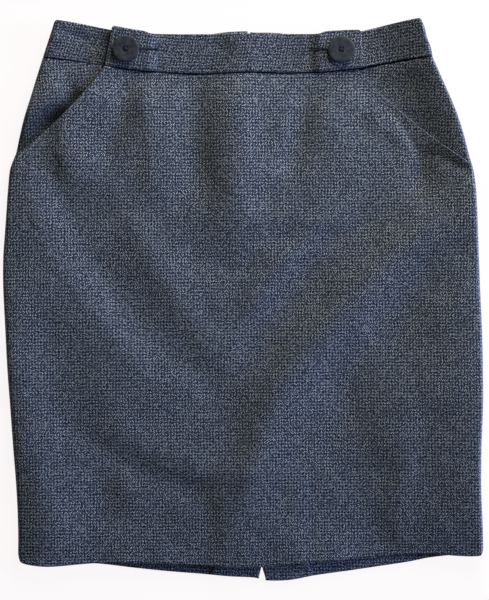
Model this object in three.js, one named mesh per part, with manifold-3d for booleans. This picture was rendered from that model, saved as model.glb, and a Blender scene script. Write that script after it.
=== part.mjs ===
// A knee-length pencil skirt laid flat, face up, in millimetres. X runs across the skirt, Y from the hem to the
// waist, and Z up from the surface that it lies on. The layers are stacked as the real ones are: back panels and
// back waistband, then the slit facings, the zip and the hip pieces, then the front panel and front waistband.
import * as THREE from "three";
import { mergeVertices } from "three/addons/utils/BufferGeometryUtils.js";
import Module from "manifold-3d";

// Cloth
const CLOTH = 1.2; // wall of one layer of tweed
const BAND = 2.4; // wall of the doubled, stiffened waistband
const SEAM = 0.3; // gap between two pieces sewn edge to edge
const LAYER = 0.3; // gap between a layer and the one that lies on it
const FRONT_LAYER = 0.5; // the same beneath the front panel, whose wide faces cut across what they cover
const TURN_UP = 35; // depth of the hem that is turned up inside
const TURN_STEP = 5; // length over which the turned-up edge fades into the panel
const HEM_SPREAD = 7; // how far the front keeps the height of the turned-up back hem past its edge
const FACING_SPREAD = 2; // the same for the slit facings

// Form of the laid front
const FRONT_REST = 4.7; // height of the front's face where no fold crosses it
const SIDE_FACE = 2.85; // height of the front's face at its side edges
const SIDE_ROUND = 10; // width over which the front rounds down to its side edges
const WAIST_FACE = 4.5; // height of the front's face at the waist seam
const WAIST_ROUND = 45; // length over which the front settles to that seam
const SOFTNESS = 0.4; // how softly the front passes from its own form onto what lies beneath it

// Centre back, slit and zip
const CENTRE_WAIST = { x: 5.8, y: 278 };
const CENTRE_HEM = { x: 19.5, y: -278 };
const SLIT_SPREAD = 3.3; // how far each corner of the slit stands off the centre line
const SLIT_MOUTH = 16; // length over which the slit's corners part
const FACING_WIDTH = 48;
const FACING_LENGTH = 120;
const ZIP_LENGTH = 175;
const ZIP_TAPE = { width: 24, thick: 0.6 };
const ZIP_CHAIN = { width: 4, thick: 1.2 };

// Pocket mouths, from the waist seam to the side edge; sag is how far the middle of each bows sideways
const MOUTH_LEFT = { waist: -147.6, end: { x: -236.3, y: 151 }, sag: 3.5 };
const MOUTH_RIGHT = { waist: 118.3, end: { x: 234.4, y: 142.5 }, sag: -4.5 };
const HIP_BOTTOM = 117; // how high up the skirt the hip pieces end
const HIP_UNDERLAP = 38; // how far each hip piece runs on beneath the front, as the back of the pocket
const HIP_INSET = 0.6; // how far the hip piece and the back stop short of the front's outline
const HIP_RISE = 1.7; // how far a hip piece climbs to meet the waistband
const HIP_CLIMB = 30; // length over which it climbs

// Waistband tabs and their buttons
const TAB_LEFT = { top: -135.9, seam: -144.3, step: -98, foot: -88, hidden: -102.5 };
const TAB_RIGHT = { top: 122.2, seam: 125.1, step: 80, foot: 70, hidden: 84.5 };
const BAND_EDGE_ROUND = 0.9; // rounding of the waistband along its folded top edge
const BUTTON = { radius: 14, thick: 3.4, rim: 2.6, dish: 0.7, hole: 1.1, holeSpacing: 3.2 };
const BUTTON_LEFT = { x: -121.9, y: 260.7 };
const BUTTON_RIGHT = { x: 101.7, y: 260.2 };
const BUTTONHOLE = { length: 32, width: 1.0 };

// Side edges of the laid skirt: how high up the skirt, and where the left and right edges are there
const SIDE_EDGES = [
  { y: -268, left: -234.3, right: 249.9 },
  { y: -237, left: -234.3, right: 249.3 },
  { y: -195, left: -236.3, right: 247.6 },
  { y: -154, left: -239.5, right: 247.8 },
  { y: -112, left: -242.6, right: 249.3 },
  { y: -70, left: -245.7, right: 249.3 },
  { y: -29, left: -247.8, right: 248.3 },
  { y: 13, left: -249.9, right: 246.4 },
  { y: 44, left: -249.9, right: 245.3 },
  { y: 75, left: -247.8, right: 244.1 },
  { y: 117, left: -244.7, right: 242.1 },
  { y: 137, left: -242.4, right: 238.9 },
  { y: 151, left: -237.2, right: 234.9 },
  { y: 169, left: -233.2, right: 230.4 },
  { y: 190, left: -228.0, right: 224.0 },
  { y: 210, left: -221.8, right: 216.1 },
  { y: 231, left: -215.5, right: 206.7 },
  { y: 253, left: -208.6, right: 197.0 },
];

// Side edges of the waistband
const BAND_EDGES = [
  { y: 252.5, left: -208.6, right: 197.0 },
  { y: 262, left: -205.5, right: 195.3 },
  { y: 273, left: -201.9, right: 191.1 },
  { y: 283, left: -198.6, right: 188.6 },
  { y: 292.4, left: -195.8, right: 184.9 },
];

// Hem of the front, from the left side seam to the right
const FRONT_HEM = [
  { x: -234.3, y: -268.0 },
  { x: -231.5, y: -272.3 },
  { x: -222, y: -275.4 },
  { x: -201, y: -277.0 },
  { x: -151, y: -273.3 },
  { x: -113, y: -273.6 },
  { x: -56, y: -275.1 },
  { x: -12, y: -277.5 },
  { x: 20, y: -277.5 },
  { x: 65, y: -273.3 },
  { x: 114, y: -269.2 },
  { x: 159, y: -265.0 },
  { x: 196, y: -264.0 },
  { x: 225, y: -266.0 },
  { x: 246, y: -265.8 },
  { x: 249.9, y: -262.5 },
];

// Hem of the back, which hangs below the front's in the middle
const BACK_HEM = [
  { x: -234.3, y: -266.0 },
  { x: -222, y: -272.5 },
  { x: -180, y: -273.6 },
  { x: -149, y: -274.8 },
  { x: -113, y: -279.0 },
  { x: -76, y: -282.7 },
  { x: -45, y: -285.1 },
  { x: -14, y: -287.9 },
  { x: 12, y: -289.2 },
  { x: 24, y: -292.0 },
  { x: 49, y: -291.5 },
  { x: 74, y: -286.8 },
  { x: 111, y: -281.6 },
  { x: 142, y: -277.0 },
  { x: 173, y: -272.3 },
  { x: 194, y: -268.1 },
  { x: 225, y: -264.6 },
  { x: 249.9, y: -261.5 },
];

// Seam between the waistband and the panels
const WAIST_SEAM = [
  { x: -208.6, y: 252.4 },
  { x: -175, y: 248.6 },
  { x: -147.6, y: 244.1 },
  { x: -120, y: 240.2 },
  { x: -87, y: 237.2 },
  { x: -45, y: 235.2 },
  { x: 5, y: 237.0 },
  { x: 46, y: 236.1 },
  { x: 80, y: 237.4 },
  { x: 102, y: 239.4 },
  { x: 127, y: 242.2 },
  { x: 163, y: 248.2 },
  { x: 197, y: 252.9 },
];

// Top edge of the front waistband with its two tabs
const FRONT_BAND_TOP = [
  { x: -135.9, y: 285.2 },
  { x: -113.6, y: 281.0 },
  { x: -102, y: 279.3 },
  { x: -96, y: 277.0 },
  { x: -45, y: 276.4 },
  { x: 0, y: 276.8 },
  { x: 60, y: 276.5 },
  { x: 79, y: 276.8 },
  { x: 85, y: 279.0 },
  { x: 108, y: 280.4 },
  { x: 122.2, y: 280.6 },
];

// Top edge of the side waistbands, which run on beneath the tabs
const SIDE_BAND_TOP = [
  { x: -195.8, y: 291.4 },
  { x: -170, y: 287.2 },
  { x: -136, y: 280.6 },
  { x: -99, y: 275.0 },
  { x: 81, y: 274.6 },
  { x: 122, y: 279.4 },
  { x: 148, y: 285.2 },
  { x: 167, y: 289.3 },
  { x: 184.9, y: 292.4 },
];

// Top edge of the back waistband, which shows above the front one in the middle
const BACK_BAND_TOP = [
  { x: -195.8, y: 290.6 },
  { x: -170, y: 286.2 },
  { x: -136, y: 279.6 },
  { x: -99, y: 274.6 },
  { x: -45, y: 275.6 },
  { x: -20, y: 279.0 },
  { x: 2, y: 280.2 },
  { x: 10, y: 279.0 },
  { x: 32, y: 278.6 },
  { x: 60, y: 275.8 },
  { x: 81, y: 274.0 },
  { x: 122, y: 278.6 },
  { x: 148, y: 284.4 },
  { x: 167, y: 288.5 },
  { x: 184.9, y: 291.6 },
];

// Largest folds of the front: a line from one end to the other, how far its middle bows to its left side, how
// wide the fold is and how far it rises, or sinks where that is less than nothing
const FRONT_FOLDS = [
  { fromX: -205, fromY: 125, toX: -10, toY: -108, bow: -16, width: 26, rise: -1.6 },
  { fromX: 228, fromY: 112, toX: 8, toY: -160, bow: -22, width: 25, rise: 1.3 },
  { fromX: -175, fromY: -145, toX: -40, toY: -224, bow: -8, width: 20, rise: -1.3 },
  { fromX: -205, fromY: 10, toX: -60, toY: -140, bow: -14, width: 30, rise: 0.9 },
  { fromX: 214, fromY: 34, toX: 60, toY: -130, bow: -14, width: 24, rise: -1.0 },
  { fromX: 60, fromY: 104, toX: 190, toY: 98, bow: 3, width: 12, rise: -1.2 },
  { fromX: -50, fromY: 84, toX: 110, toY: 82, bow: 0, width: 14, rise: 0.7 },
  { fromX: -14, fromY: 228, toX: -18, toY: 112, bow: 3, width: 13, rise: 0.9 },
  { fromX: 91, fromY: 226, toX: 96, toY: 120, bow: -3, width: 12, rise: 0.8 },
  { fromX: -104, fromY: 216, toX: -100, toY: 150, bow: 0, width: 11, rise: 0.7 },
  { fromX: 118, fromY: 222, toX: 180, toY: 156, bow: -4, width: 11, rise: 0.7 },
  { fromX: -158, fromY: 232, toX: -232, toY: 158, bow: 3, width: 13, rise: 2.1 },
];

const CLOTH_LOOK = { color: 0x434855, roughness: 0.92, metalness: 0 };
const BAND_LOOK = { color: 0x424754, roughness: 0.9, metalness: 0 };
const BUTTON_LOOK = { color: 0x343a45, roughness: 0.5, metalness: 0 };
const ZIP_LOOK = { color: 0x2c3038, roughness: 0.7, metalness: 0 };

const mix = (a, b, t) => a + (b - a) * t;
const ramp = (from, to, t) => THREE.MathUtils.smoothstep(t, from, to);
const highest = (a, b) => 0.5 * (a + b + Math.hypot(a - b, SOFTNESS));

// A smooth curve through a table's rows, as a function of one column. Its slope at a row is the mean slope to
// the rows on either side.
function through(rows, at, value) {
  const slopes = rows.map((row, i) => {
    const before = rows[Math.max(i - 1, 0)];
    const after = rows[Math.min(i + 1, rows.length - 1)];
    return (after[value] - before[value]) / (after[at] - before[at]);
  });
  return (place) => {
    let i = 0;
    while (i < rows.length - 2 && place > rows[i + 1][at]) i += 1;
    const a = rows[i];
    const b = rows[i + 1];
    const span = b[at] - a[at];
    const t = THREE.MathUtils.clamp((place - a[at]) / span, 0, 1);
    const rise = (b[value] - a[value]) / span;
    const bend = (1 - t) * (slopes[i] - rise) - t * (slopes[i + 1] - rise);
    return mix(a[value], b[value], t) + span * t * (1 - t) * bend;
  };
}

const sideLeft = through(SIDE_EDGES, "y", "left");
const sideRight = through(SIDE_EDGES, "y", "right");
const bandLeft = through(BAND_EDGES, "y", "left");
const bandRight = through(BAND_EDGES, "y", "right");
const frontHem = through(FRONT_HEM, "x", "y");
const backHem = through(BACK_HEM, "x", "y");
const waistSeam = through(WAIST_SEAM, "x", "y");
const frontBandTop = through(FRONT_BAND_TOP, "x", "y");
const sideBandTop = through(SIDE_BAND_TOP, "x", "y");
const backBandTop = through(BACK_BAND_TOP, "x", "y");

// Where the centre back seam is at a height y
function centreBack(y) {
  return mix(CENTRE_HEM.x, CENTRE_WAIST.x, (y - CENTRE_HEM.y) / (CENTRE_WAIST.y - CENTRE_HEM.y));
}

// A pocket mouth as a function from 0 at the side edge to 1 at the waist seam, bowed by its sag
function pocketMouth(mouth) {
  const top = { x: mouth.waist, y: waistSeam(mouth.waist) - SEAM };
  const run = new THREE.Vector2(top.x - mouth.end.x, top.y - mouth.end.y);
  const across = new THREE.Vector2(run.y, -run.x).normalize();
  return (t) => {
    const bow = 4 * t * (1 - t) * mouth.sag;
    return { x: mouth.end.x + run.x * t + across.x * bow, y: mouth.end.y + run.y * t + across.y * bow };
  };
}

// How far a point lies inside a pocket mouth, beneath or within the front panel; less than nothing outside it
function insideMouth(mouth, inward) {
  const top = { x: mouth.waist, y: waistSeam(mouth.waist) };
  const run = new THREE.Vector2(top.x - mouth.end.x, top.y - mouth.end.y).normalize();
  return (x, y) => inward * (run.y * (x - mouth.end.x) - run.x * (y - mouth.end.y));
}

const insideLeft = insideMouth(MOUTH_LEFT, 1);
const insideRight = insideMouth(MOUTH_RIGHT, -1);

// The rise of one fold at a point: a soft ridge across its line that dies out towards both ends
function foldRise(fold, x, y) {
  const run = new THREE.Vector2(fold.toX - fold.fromX, fold.toY - fold.fromY);
  const length = run.length();
  run.normalize();
  const along = ((x - fold.fromX) * run.x + (y - fold.fromY) * run.y) / length;
  const middle = fold.bow * 4 * along * (1 - along);
  const across = (y - fold.fromY) * run.x - (x - fold.fromX) * run.y - middle;
  const fade = ramp(-0.12, 0.25, along) * (1 - ramp(0.75, 1.12, along));
  return fold.rise * fade * Math.exp(-((across / fold.width) ** 2));
}

// How far a turned-up hem adds a second layer at a distance above the hem: 1 within it, 0 above it
const turnUp = (above) => 1 - ramp(TURN_UP, TURN_UP + TURN_STEP, above);

const backFace = (x, y, spread = 0) => CLOTH * (1 + turnUp(y - backHem(x) - spread));

// Height of whatever lies directly beneath the front panel: the back, with the zip and the slit facings in the
// middle and the hip pieces beside the pockets. Each spreads a little past its own edge.
function beneathFront(x, y) {
  const middle = Math.abs(x - centreBack(y));
  const facing = (1 - ramp(FACING_WIDTH + 9, FACING_WIDTH + 22, middle))
    * (1 - ramp(FACING_LENGTH + 14, FACING_LENGTH + 30, y - backHem(x)));
  const zip = (1 - ramp(22, 34, middle)) * ramp(20, 45, y);
  const hips = (1 - ramp(HIP_UNDERLAP + 12, HIP_UNDERLAP + 30, Math.min(insideLeft(x, y), insideRight(x, y))))
    * ramp(HIP_BOTTOM - 28, HIP_BOTTOM - 10, y);
  return backFace(x, y, HEM_SPREAD) + (CLOTH + LAYER) * Math.max(facing, zip, hips);
}

// The front's own form: level, rounded down at the side edges and the waist seam, and creased by its folds
function frontForm(x, y) {
  const inset = Math.min(x - sideLeft(y), sideRight(y) - x);
  const rounding = Math.sqrt(1 - (1 - THREE.MathUtils.clamp(inset / SIDE_ROUND, 0, 1)) ** 2);
  const waist = ramp(-WAIST_ROUND, 0, y - waistSeam(x));
  const folds = FRONT_FOLDS.reduce((sum, fold) => sum + foldRise(fold, x, y), 0);
  return mix(SIDE_FACE, mix(FRONT_REST, WAIST_FACE, waist) + folds * (1 - 0.8 * waist), rounding);
}

const frontWall = (x, y) => CLOTH * (1 + turnUp(y - frontHem(x)));

const frontUnder = (x, y) => highest(beneathFront(x, y) + FRONT_LAYER, frontForm(x, y) - frontWall(x, y));

// A hip piece lies on the back, and climbs towards the waistband where the pocket mouth leaves it open
function hipUnder(inside) {
  return (x, y) => {
    const climb = ramp(-HIP_CLIMB, 0, y - waistSeam(x)) * ramp(2, 24, -inside(x, y));
    return CLOTH + LAYER + HIP_RISE * climb;
  };
}

// Even steps from 0 to 1 with closer ones named at the start and the end
function steps(count, start = [], end = []) {
  const first = start.length ? start[start.length - 1] : 0;
  const last = end.length ? 1 - end[end.length - 1] : 1;
  const even = Array.from({ length: count + 1 }, (_, i) => mix(first, last, i / count));
  const before = start.length ? [0, ...start.slice(0, -1)] : [];
  const after = end.length ? [...end.slice(0, -1).reverse().map((e) => 1 - e), 1] : [];
  return [...before, ...even, ...after];
}

// A four-sided patch in plan: left and right are points for a height 0 to 1, bottom and top are heights for a
// place x. Rows run straight from left to right, bent by what bottom and top depart from their own chords.
function patch(left, right, bottom, top) {
  const bow = (edge, a, b, s) => edge(mix(a.x, b.x, s)) - mix(edge(a.x), edge(b.x), s);
  return (s, t) => {
    const a = left(t);
    const b = right(t);
    const low = bow(bottom, left(0), right(0), s);
    const high = bow(top, left(1), right(1), s);
    return { x: mix(a.x, b.x, s), y: mix(a.y, b.y, s) + mix(low, high, t) };
  };
}

// A closed wall over a plan patch: an underside, a face above it, and a strip joining them all round
function wall(name, look, plan, across, along, under, face) {
  const columns = across.length;
  const rows = along.length;
  const positions = [];
  for (const height of [under, face]) {
    for (const t of along) {
      for (const s of across) {
        const { x, y } = plan(s, t);
        positions.push(x, y, height(x, y));
      }
    }
  }
  const lower = (i, j) => j * columns + i;
  const upper = (i, j) => columns * rows + lower(i, j);
  const triangles = [];
  for (let j = 0; j < rows - 1; j += 1) {
    for (let i = 0; i < columns - 1; i += 1) {
      triangles.push(upper(i, j), upper(i + 1, j), upper(i + 1, j + 1));
      triangles.push(upper(i, j), upper(i + 1, j + 1), upper(i, j + 1));
      triangles.push(lower(i, j), lower(i + 1, j + 1), lower(i + 1, j));
      triangles.push(lower(i, j), lower(i, j + 1), lower(i + 1, j + 1));
    }
  }
  const strip = (a, b) => {
    triangles.push(lower(...a), lower(...b), upper(...b), lower(...a), upper(...b), upper(...a));
  };
  for (let i = 0; i < columns - 1; i += 1) {
    strip([i, 0], [i + 1, 0]);
    strip([i + 1, rows - 1], [i, rows - 1]);
  }
  for (let j = 0; j < rows - 1; j += 1) {
    strip([columns - 1, j], [columns - 1, j + 1]);
    strip([0, j + 1], [0, j]);
  }
  const geometry = new THREE.BufferGeometry();
  geometry.setAttribute("position", new THREE.Float32BufferAttribute(positions, 3));
  geometry.setIndex(triangles);
  return piece(name, geometry, look);
}

function piece(name, geometry, look) {
  geometry.computeVertexNormals();
  const mesh = new THREE.Mesh(geometry, new THREE.MeshStandardMaterial(look));
  mesh.name = name;
  return mesh;
}

// Front panel, one piece from hem to waist with a slanting pocket mouth cut from each upper corner
function frontPanel() {
  const corner = 0.78; // height, as a share of the panel's side, at which the pocket mouth starts
  const side = (edge, hemY, mouth) => {
    const open = pocketMouth(mouth);
    return (t) => {
      if (t > corner) return open((t - corner) / (1 - corner));
      const y = mix(hemY, mouth.end.y, t / corner);
      return { x: edge(y), y };
    };
  };
  const plan = patch(
    side(sideLeft, frontHem(FRONT_HEM[0].x), MOUTH_LEFT),
    side(sideRight, frontHem(FRONT_HEM[FRONT_HEM.length - 1].x), MOUTH_RIGHT),
    frontHem,
    (x) => waistSeam(x) - SEAM,
  );
  const along = [0, 0.006, 0.03, 0.062, 0.078, ...steps(24).map((t) => mix(0.1, corner, t)),
    ...steps(9).slice(1).map((t) => mix(corner, 1, t))];
  const across = steps(28, [0.004, 0.011, 0.023], [0.004, 0.011, 0.023]);
  const face = (x, y) => frontUnder(x, y) + frontWall(x, y);
  return wall("front_panel", CLOTH_LOOK, plan, across, along, frontUnder, face);
}

// One half of the back, from its side edge to the centre back seam, parted at the slit
function backPanel(name, direction) {
  const outer = direction < 0 ? sideLeft : sideRight;
  const hemSide = direction < 0 ? BACK_HEM[0] : BACK_HEM[BACK_HEM.length - 1];
  const waistSide = direction < 0 ? WAIST_SEAM[0] : WAIST_SEAM[WAIST_SEAM.length - 1];
  const centreHemX = CENTRE_HEM.x + direction * (SEAM / 2 + SLIT_SPREAD);
  const side = (t) => {
    const y = mix(hemSide.y, waistSide.y - SEAM, t);
    return { x: outer(y) - direction * HIP_INSET, y };
  };
  const centre = (t) => {
    const y = mix(backHem(centreHemX), waistSeam(CENTRE_WAIST.x) - SEAM, t);
    const open = SLIT_SPREAD * (1 - ramp(0, SLIT_MOUTH, y - backHem(centreHemX)));
    return { x: centreBack(y) + direction * (SEAM / 2 + open), y };
  };
  const plan = patch(
    direction < 0 ? side : centre,
    direction < 0 ? centre : side,
    backHem,
    (x) => waistSeam(x) - SEAM,
  );
  const along = [0, 0.008, 0.02, 0.034, 0.066, 0.078, ...steps(16).map((t) => mix(0.1, 1, t))];
  return wall(name, CLOTH_LOOK, plan, steps(12), along, () => 0, backFace);
}

// The slit's folded-back edge: a strip of the back that lies inside it, beside the centre line
function slitFacing(name, direction) {
  const hemX = CENTRE_HEM.x + direction * (SEAM / 2 + SLIT_SPREAD + 0.4);
  const foot = (x) => backHem(x) + 1;
  const column = (offset) => (t) => {
    const low = foot(hemX + direction * offset);
    const y = mix(low, low + FACING_LENGTH, t);
    const open = (SLIT_SPREAD + 0.4) * (1 - ramp(0, SLIT_MOUTH, y - low));
    return { x: centreBack(y) + direction * (SEAM / 2 + open + offset), y };
  };
  const near = column(0);
  const far = column(FACING_WIDTH);
  const plan = patch(
    direction < 0 ? far : near,
    direction < 0 ? near : far,
    foot,
    () => 0,
  );
  const along = [0, 0.04, 0.09, 0.15, 0.27, 0.335, 0.42, 0.7, 1];
  const under = (x, y) => backFace(x, y, FACING_SPREAD) + LAYER;
  return wall(name, CLOTH_LOOK, plan, steps(4), along, under, (x, y) => under(x, y) + CLOTH);
}

// A hip piece: it fills the corner that the pocket mouth leaves, and runs on beneath the front as the pocket's back
function hipPiece(name, direction) {
  const outer = direction < 0 ? sideLeft : sideRight;
  const mouth = direction < 0 ? MOUTH_LEFT : MOUTH_RIGHT;
  const inside = direction < 0 ? insideLeft : insideRight;
  const open = pocketMouth(mouth);
  const run = Math.hypot(open(1).x - open(0).x, open(1).y - open(0).y);
  const slant = Math.abs(open(1).x - open(0).x) / (open(1).y - open(0).y);
  const shift = HIP_UNDERLAP * run / (open(1).y - open(0).y);
  const waistSide = direction < 0 ? WAIST_SEAM[0] : WAIST_SEAM[WAIST_SEAM.length - 1];
  const innerX = (y) => mouth.waist - direction * (shift - slant * (waistSeam(mouth.waist) - y));
  const side = (t) => {
    const y = mix(HIP_BOTTOM, waistSide.y - SEAM, t);
    return { x: outer(y) - direction * HIP_INSET, y };
  };
  const inner = (t) => {
    const top = waistSeam(innerX(waistSeam(mouth.waist))) - SEAM;
    const y = mix(HIP_BOTTOM, top, t);
    return { x: innerX(y), y };
  };
  const plan = patch(
    direction < 0 ? side : inner,
    direction < 0 ? inner : side,
    () => HIP_BOTTOM,
    (x) => waistSeam(x) - SEAM,
  );
  const under = hipUnder(inside);
  return wall(name, CLOTH_LOOK, plan, steps(9), steps(12), under, (x, y) => under(x, y) + CLOTH);
}

// How far the edge of a doubled band is rounded in from its face, at a distance below its folded top edge
function foldRound(below) {
  const into = BAND_EDGE_ROUND - THREE.MathUtils.clamp(below, 0, BAND_EDGE_ROUND);
  return BAND_EDGE_ROUND - Math.sqrt(BAND_EDGE_ROUND ** 2 - into ** 2);
}

// A stretch of waistband between two ends, with a rounded fold along its top
function bandStretch(name, left, right, top, level, count) {
  const seam = (x) => waistSeam(x) + SEAM / 2;
  const plan = patch(left, right, seam, top);
  const along = [0, 0.25, 0.5, 0.75, 0.975, 0.992, 1];
  const under = (x, y) => level(x) + foldRound(top(x) - y);
  const face = (x, y) => level(x) + BAND - foldRound(top(x) - y);
  return wall(name, BAND_LOOK, plan, steps(count), along, under, face);
}

// The side end of a waistband, as points from the seam to the top edge
function bandSide(edge, direction, top) {
  const seamX = direction < 0 ? WAIST_SEAM[0].x : WAIST_SEAM[WAIST_SEAM.length - 1].x;
  const topX = direction < 0 ? BACK_BAND_TOP[0].x : BACK_BAND_TOP[BACK_BAND_TOP.length - 1].x;
  const low = waistSeam(seamX) + SEAM / 2;
  return (t) => {
    const y = mix(low, top(topX), t);
    return { x: edge(y) - direction * HIP_INSET / 2, y };
  };
}

// A straight end of a waistband between its seam and its top edge
function bandEnd(seamX, topX, top) {
  return (t) => ({ x: mix(seamX, topX, t), y: mix(waistSeam(seamX) + SEAM / 2, top(topX), t) });
}

const FRONT_LEVEL = BAND + LAYER; // underside of the front and side waistbands, on the back one
const TAB_LEVEL = FRONT_LEVEL + BAND + LAYER; // underside of a tab, on the side waistband

function frontBand(wasm) {
  const level = (x) => {
    const left = 1 - ramp(TAB_LEFT.step, TAB_LEFT.foot, x);
    const right = ramp(TAB_RIGHT.foot, TAB_RIGHT.step, x);
    return mix(FRONT_LEVEL, TAB_LEVEL, left + right);
  };
  const band = bandStretch(
    "front_band",
    bandEnd(TAB_LEFT.seam, TAB_LEFT.top, frontBandTop),
    bandEnd(TAB_RIGHT.seam, TAB_RIGHT.top, frontBandTop),
    frontBandTop,
    level,
    44,
  );
  const cut = [[BUTTON_LEFT, 1], [BUTTON_RIGHT, -1]].reduce(
    (solid, [button, inward]) => solid.subtract(solidOf(wasm, buttonhole(button, inward))),
    solidOf(wasm, band.geometry),
  );
  return piece("front_band", geometryOf(cut), BAND_LOOK);
}

// A buttonhole's slit, from the button's middle towards the middle of the skirt
function buttonhole(button, inward) {
  const half = BUTTONHOLE.width / 2;
  const slot = new THREE.Shape();
  slot.absarc(0, 0, half, Math.PI / 2, Math.PI * 1.5);
  slot.absarc(BUTTONHOLE.length, 0, half, -Math.PI / 2, Math.PI / 2);
  slot.closePath();
  const geometry = new THREE.ExtrudeGeometry(slot, { depth: 3 * TAB_LEVEL, bevelEnabled: false, curveSegments: 4 });
  geometry.rotateZ(inward < 0 ? Math.PI : 0);
  geometry.translate(button.x, button.y, -TAB_LEVEL);
  return geometry;
}

// A four-hole button: a rounded disc with a raised rim round a shallow dish
function button(wasm, name, place) {
  const { radius, thick, rim, dish, hole, holeSpacing } = BUTTON;
  const profile = [
    [0, 0], [radius - 1.6, 0], [radius - 0.5, 0.5], [radius, 1.3], [radius - 0.15, thick - 1.0],
    [radius - 0.8, thick - 0.25], [radius - rim / 2, thick], [radius - rim, thick - 0.3],
    [radius - rim - 1.2, thick - dish], [0, thick - dish],
  ].map(([r, z]) => new THREE.Vector2(r, z));
  const disc = new THREE.LatheGeometry(profile, 32).rotateX(Math.PI / 2);
  const drilled = [[1, 1], [1, -1], [-1, 1], [-1, -1]].reduce((solid, [i, j]) => {
    const drill = new THREE.CylinderGeometry(hole, hole, 3 * thick, 10).rotateX(Math.PI / 2);
    drill.translate(i * holeSpacing / 2, j * holeSpacing / 2, 0);
    return solid.subtract(solidOf(wasm, drill));
  }, solidOf(wasm, disc));
  const mesh = piece(name, geometryOf(drilled), BUTTON_LOOK);
  mesh.position.set(place.x, place.y, TAB_LEVEL + BAND + LAYER);
  return mesh;
}

// The closed zip: its two tapes and the chain between them, inside the back along the centre seam
function zip() {
  const tape = ZIP_TAPE.width / 2;
  const chain = ZIP_CHAIN.width / 2;
  const section = new THREE.Shape([
    [-tape, 0], [tape, 0], [tape, ZIP_TAPE.thick], [chain, ZIP_TAPE.thick],
    [chain - 0.4, ZIP_CHAIN.thick], [0.4 - chain, ZIP_CHAIN.thick], [-chain, ZIP_TAPE.thick],
    [-tape, ZIP_TAPE.thick],
  ].map(([x, z]) => new THREE.Vector2(x, z)));
  const geometry = new THREE.ExtrudeGeometry(section, { depth: ZIP_LENGTH, steps: 1, bevelEnabled: false });
  const mesh = piece("zip", geometry.rotateX(Math.PI / 2), ZIP_LOOK);
  const top = waistSeam(CENTRE_WAIST.x) - 2;
  mesh.rotation.z = Math.atan2(CENTRE_HEM.x - CENTRE_WAIST.x, CENTRE_WAIST.y - CENTRE_HEM.y);
  mesh.position.set(centreBack(top), top, CLOTH + LAYER);
  return mesh;
}

function solidOf(wasm, source) {
  const bare = source.clone();
  bare.deleteAttribute("normal");
  bare.deleteAttribute("uv");
  const merged = mergeVertices(bare, 1e-4);
  return new wasm.Manifold(new wasm.Mesh({
    numProp: 3,
    vertProperties: new Float32Array(merged.attributes.position.array),
    triVerts: new Uint32Array(merged.index.array),
  }));
}

function geometryOf(solid) {
  const { vertProperties, triVerts } = solid.getMesh();
  const geometry = new THREE.BufferGeometry();
  geometry.setAttribute("position", new THREE.BufferAttribute(vertProperties, 3));
  geometry.setIndex(new THREE.BufferAttribute(triVerts, 1));
  return geometry;
}

const wasm = await Module();
wasm.setup();

const centreEnd = (direction, top) => bandEnd(
  centreBack(waistSeam(CENTRE_WAIST.x)) + direction * SEAM / 2,
  CENTRE_WAIST.x + direction * (SEAM / 2 + 1.2),
  top,
);

const skirt = new THREE.Group();
skirt.add(
  backPanel("back_panel_left", -1),
  backPanel("back_panel_right", 1),
  slitFacing("slit_facing_left", -1),
  slitFacing("slit_facing_right", 1),
  zip(),
  hipPiece("hip_piece_left", -1),
  hipPiece("hip_piece_right", 1),
  frontPanel(),
  bandStretch("back_band_left", bandSide(bandLeft, -1, backBandTop), centreEnd(-1, backBandTop),
    backBandTop, () => 0, 18),
  bandStretch("back_band_right", centreEnd(1, backBandTop), bandSide(bandRight, 1, backBandTop),
    backBandTop, () => 0, 18),
  bandStretch("side_band_left", bandSide(bandLeft, -1, sideBandTop),
    bandEnd(TAB_LEFT.hidden, TAB_LEFT.hidden, sideBandTop), sideBandTop, () => FRONT_LEVEL, 10),
  bandStretch("side_band_right", bandEnd(TAB_RIGHT.hidden, TAB_RIGHT.hidden, sideBandTop),
    bandSide(bandRight, 1, sideBandTop), sideBandTop, () => FRONT_LEVEL, 10),
  frontBand(wasm),
  button(wasm, "button_left", BUTTON_LEFT),
  button(wasm, "button_right", BUTTON_RIGHT),
);

// The origin is on the surface beneath the middle of the skirt
const box = new THREE.Box3().setFromObject(skirt);
const middle = box.getCenter(new THREE.Vector3());
skirt.position.set(-middle.x, -middle.y, -box.min.z);

export default skirt;
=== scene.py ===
"""Looks of a pencil skirt that lies flat, face up, on a pale floor.

Every cloth piece is a thin closed shell on its solid's form, worked out in millimetres on a grid and put into
its mesh in metres. X runs across the skirt, Y from the hem to the waist, and Z up from the floor.
"""

import math

import bpy
import numpy as np
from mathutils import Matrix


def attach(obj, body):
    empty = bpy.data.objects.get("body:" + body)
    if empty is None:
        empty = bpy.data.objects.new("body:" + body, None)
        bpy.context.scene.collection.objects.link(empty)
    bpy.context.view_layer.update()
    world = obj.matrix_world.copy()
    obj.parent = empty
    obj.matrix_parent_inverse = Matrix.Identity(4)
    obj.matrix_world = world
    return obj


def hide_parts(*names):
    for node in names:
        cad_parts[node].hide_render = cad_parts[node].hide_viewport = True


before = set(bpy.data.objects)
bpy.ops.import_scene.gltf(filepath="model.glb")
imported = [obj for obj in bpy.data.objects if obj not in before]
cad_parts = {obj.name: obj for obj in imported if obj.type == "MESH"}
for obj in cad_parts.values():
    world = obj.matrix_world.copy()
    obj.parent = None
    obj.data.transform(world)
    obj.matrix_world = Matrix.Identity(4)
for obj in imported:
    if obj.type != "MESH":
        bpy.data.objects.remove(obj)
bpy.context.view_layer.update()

MM = 0.001


def table(columns, *rows):
    """A table as one array for each named column."""
    return dict(zip(columns.split(), np.array(rows, float).T))


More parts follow.
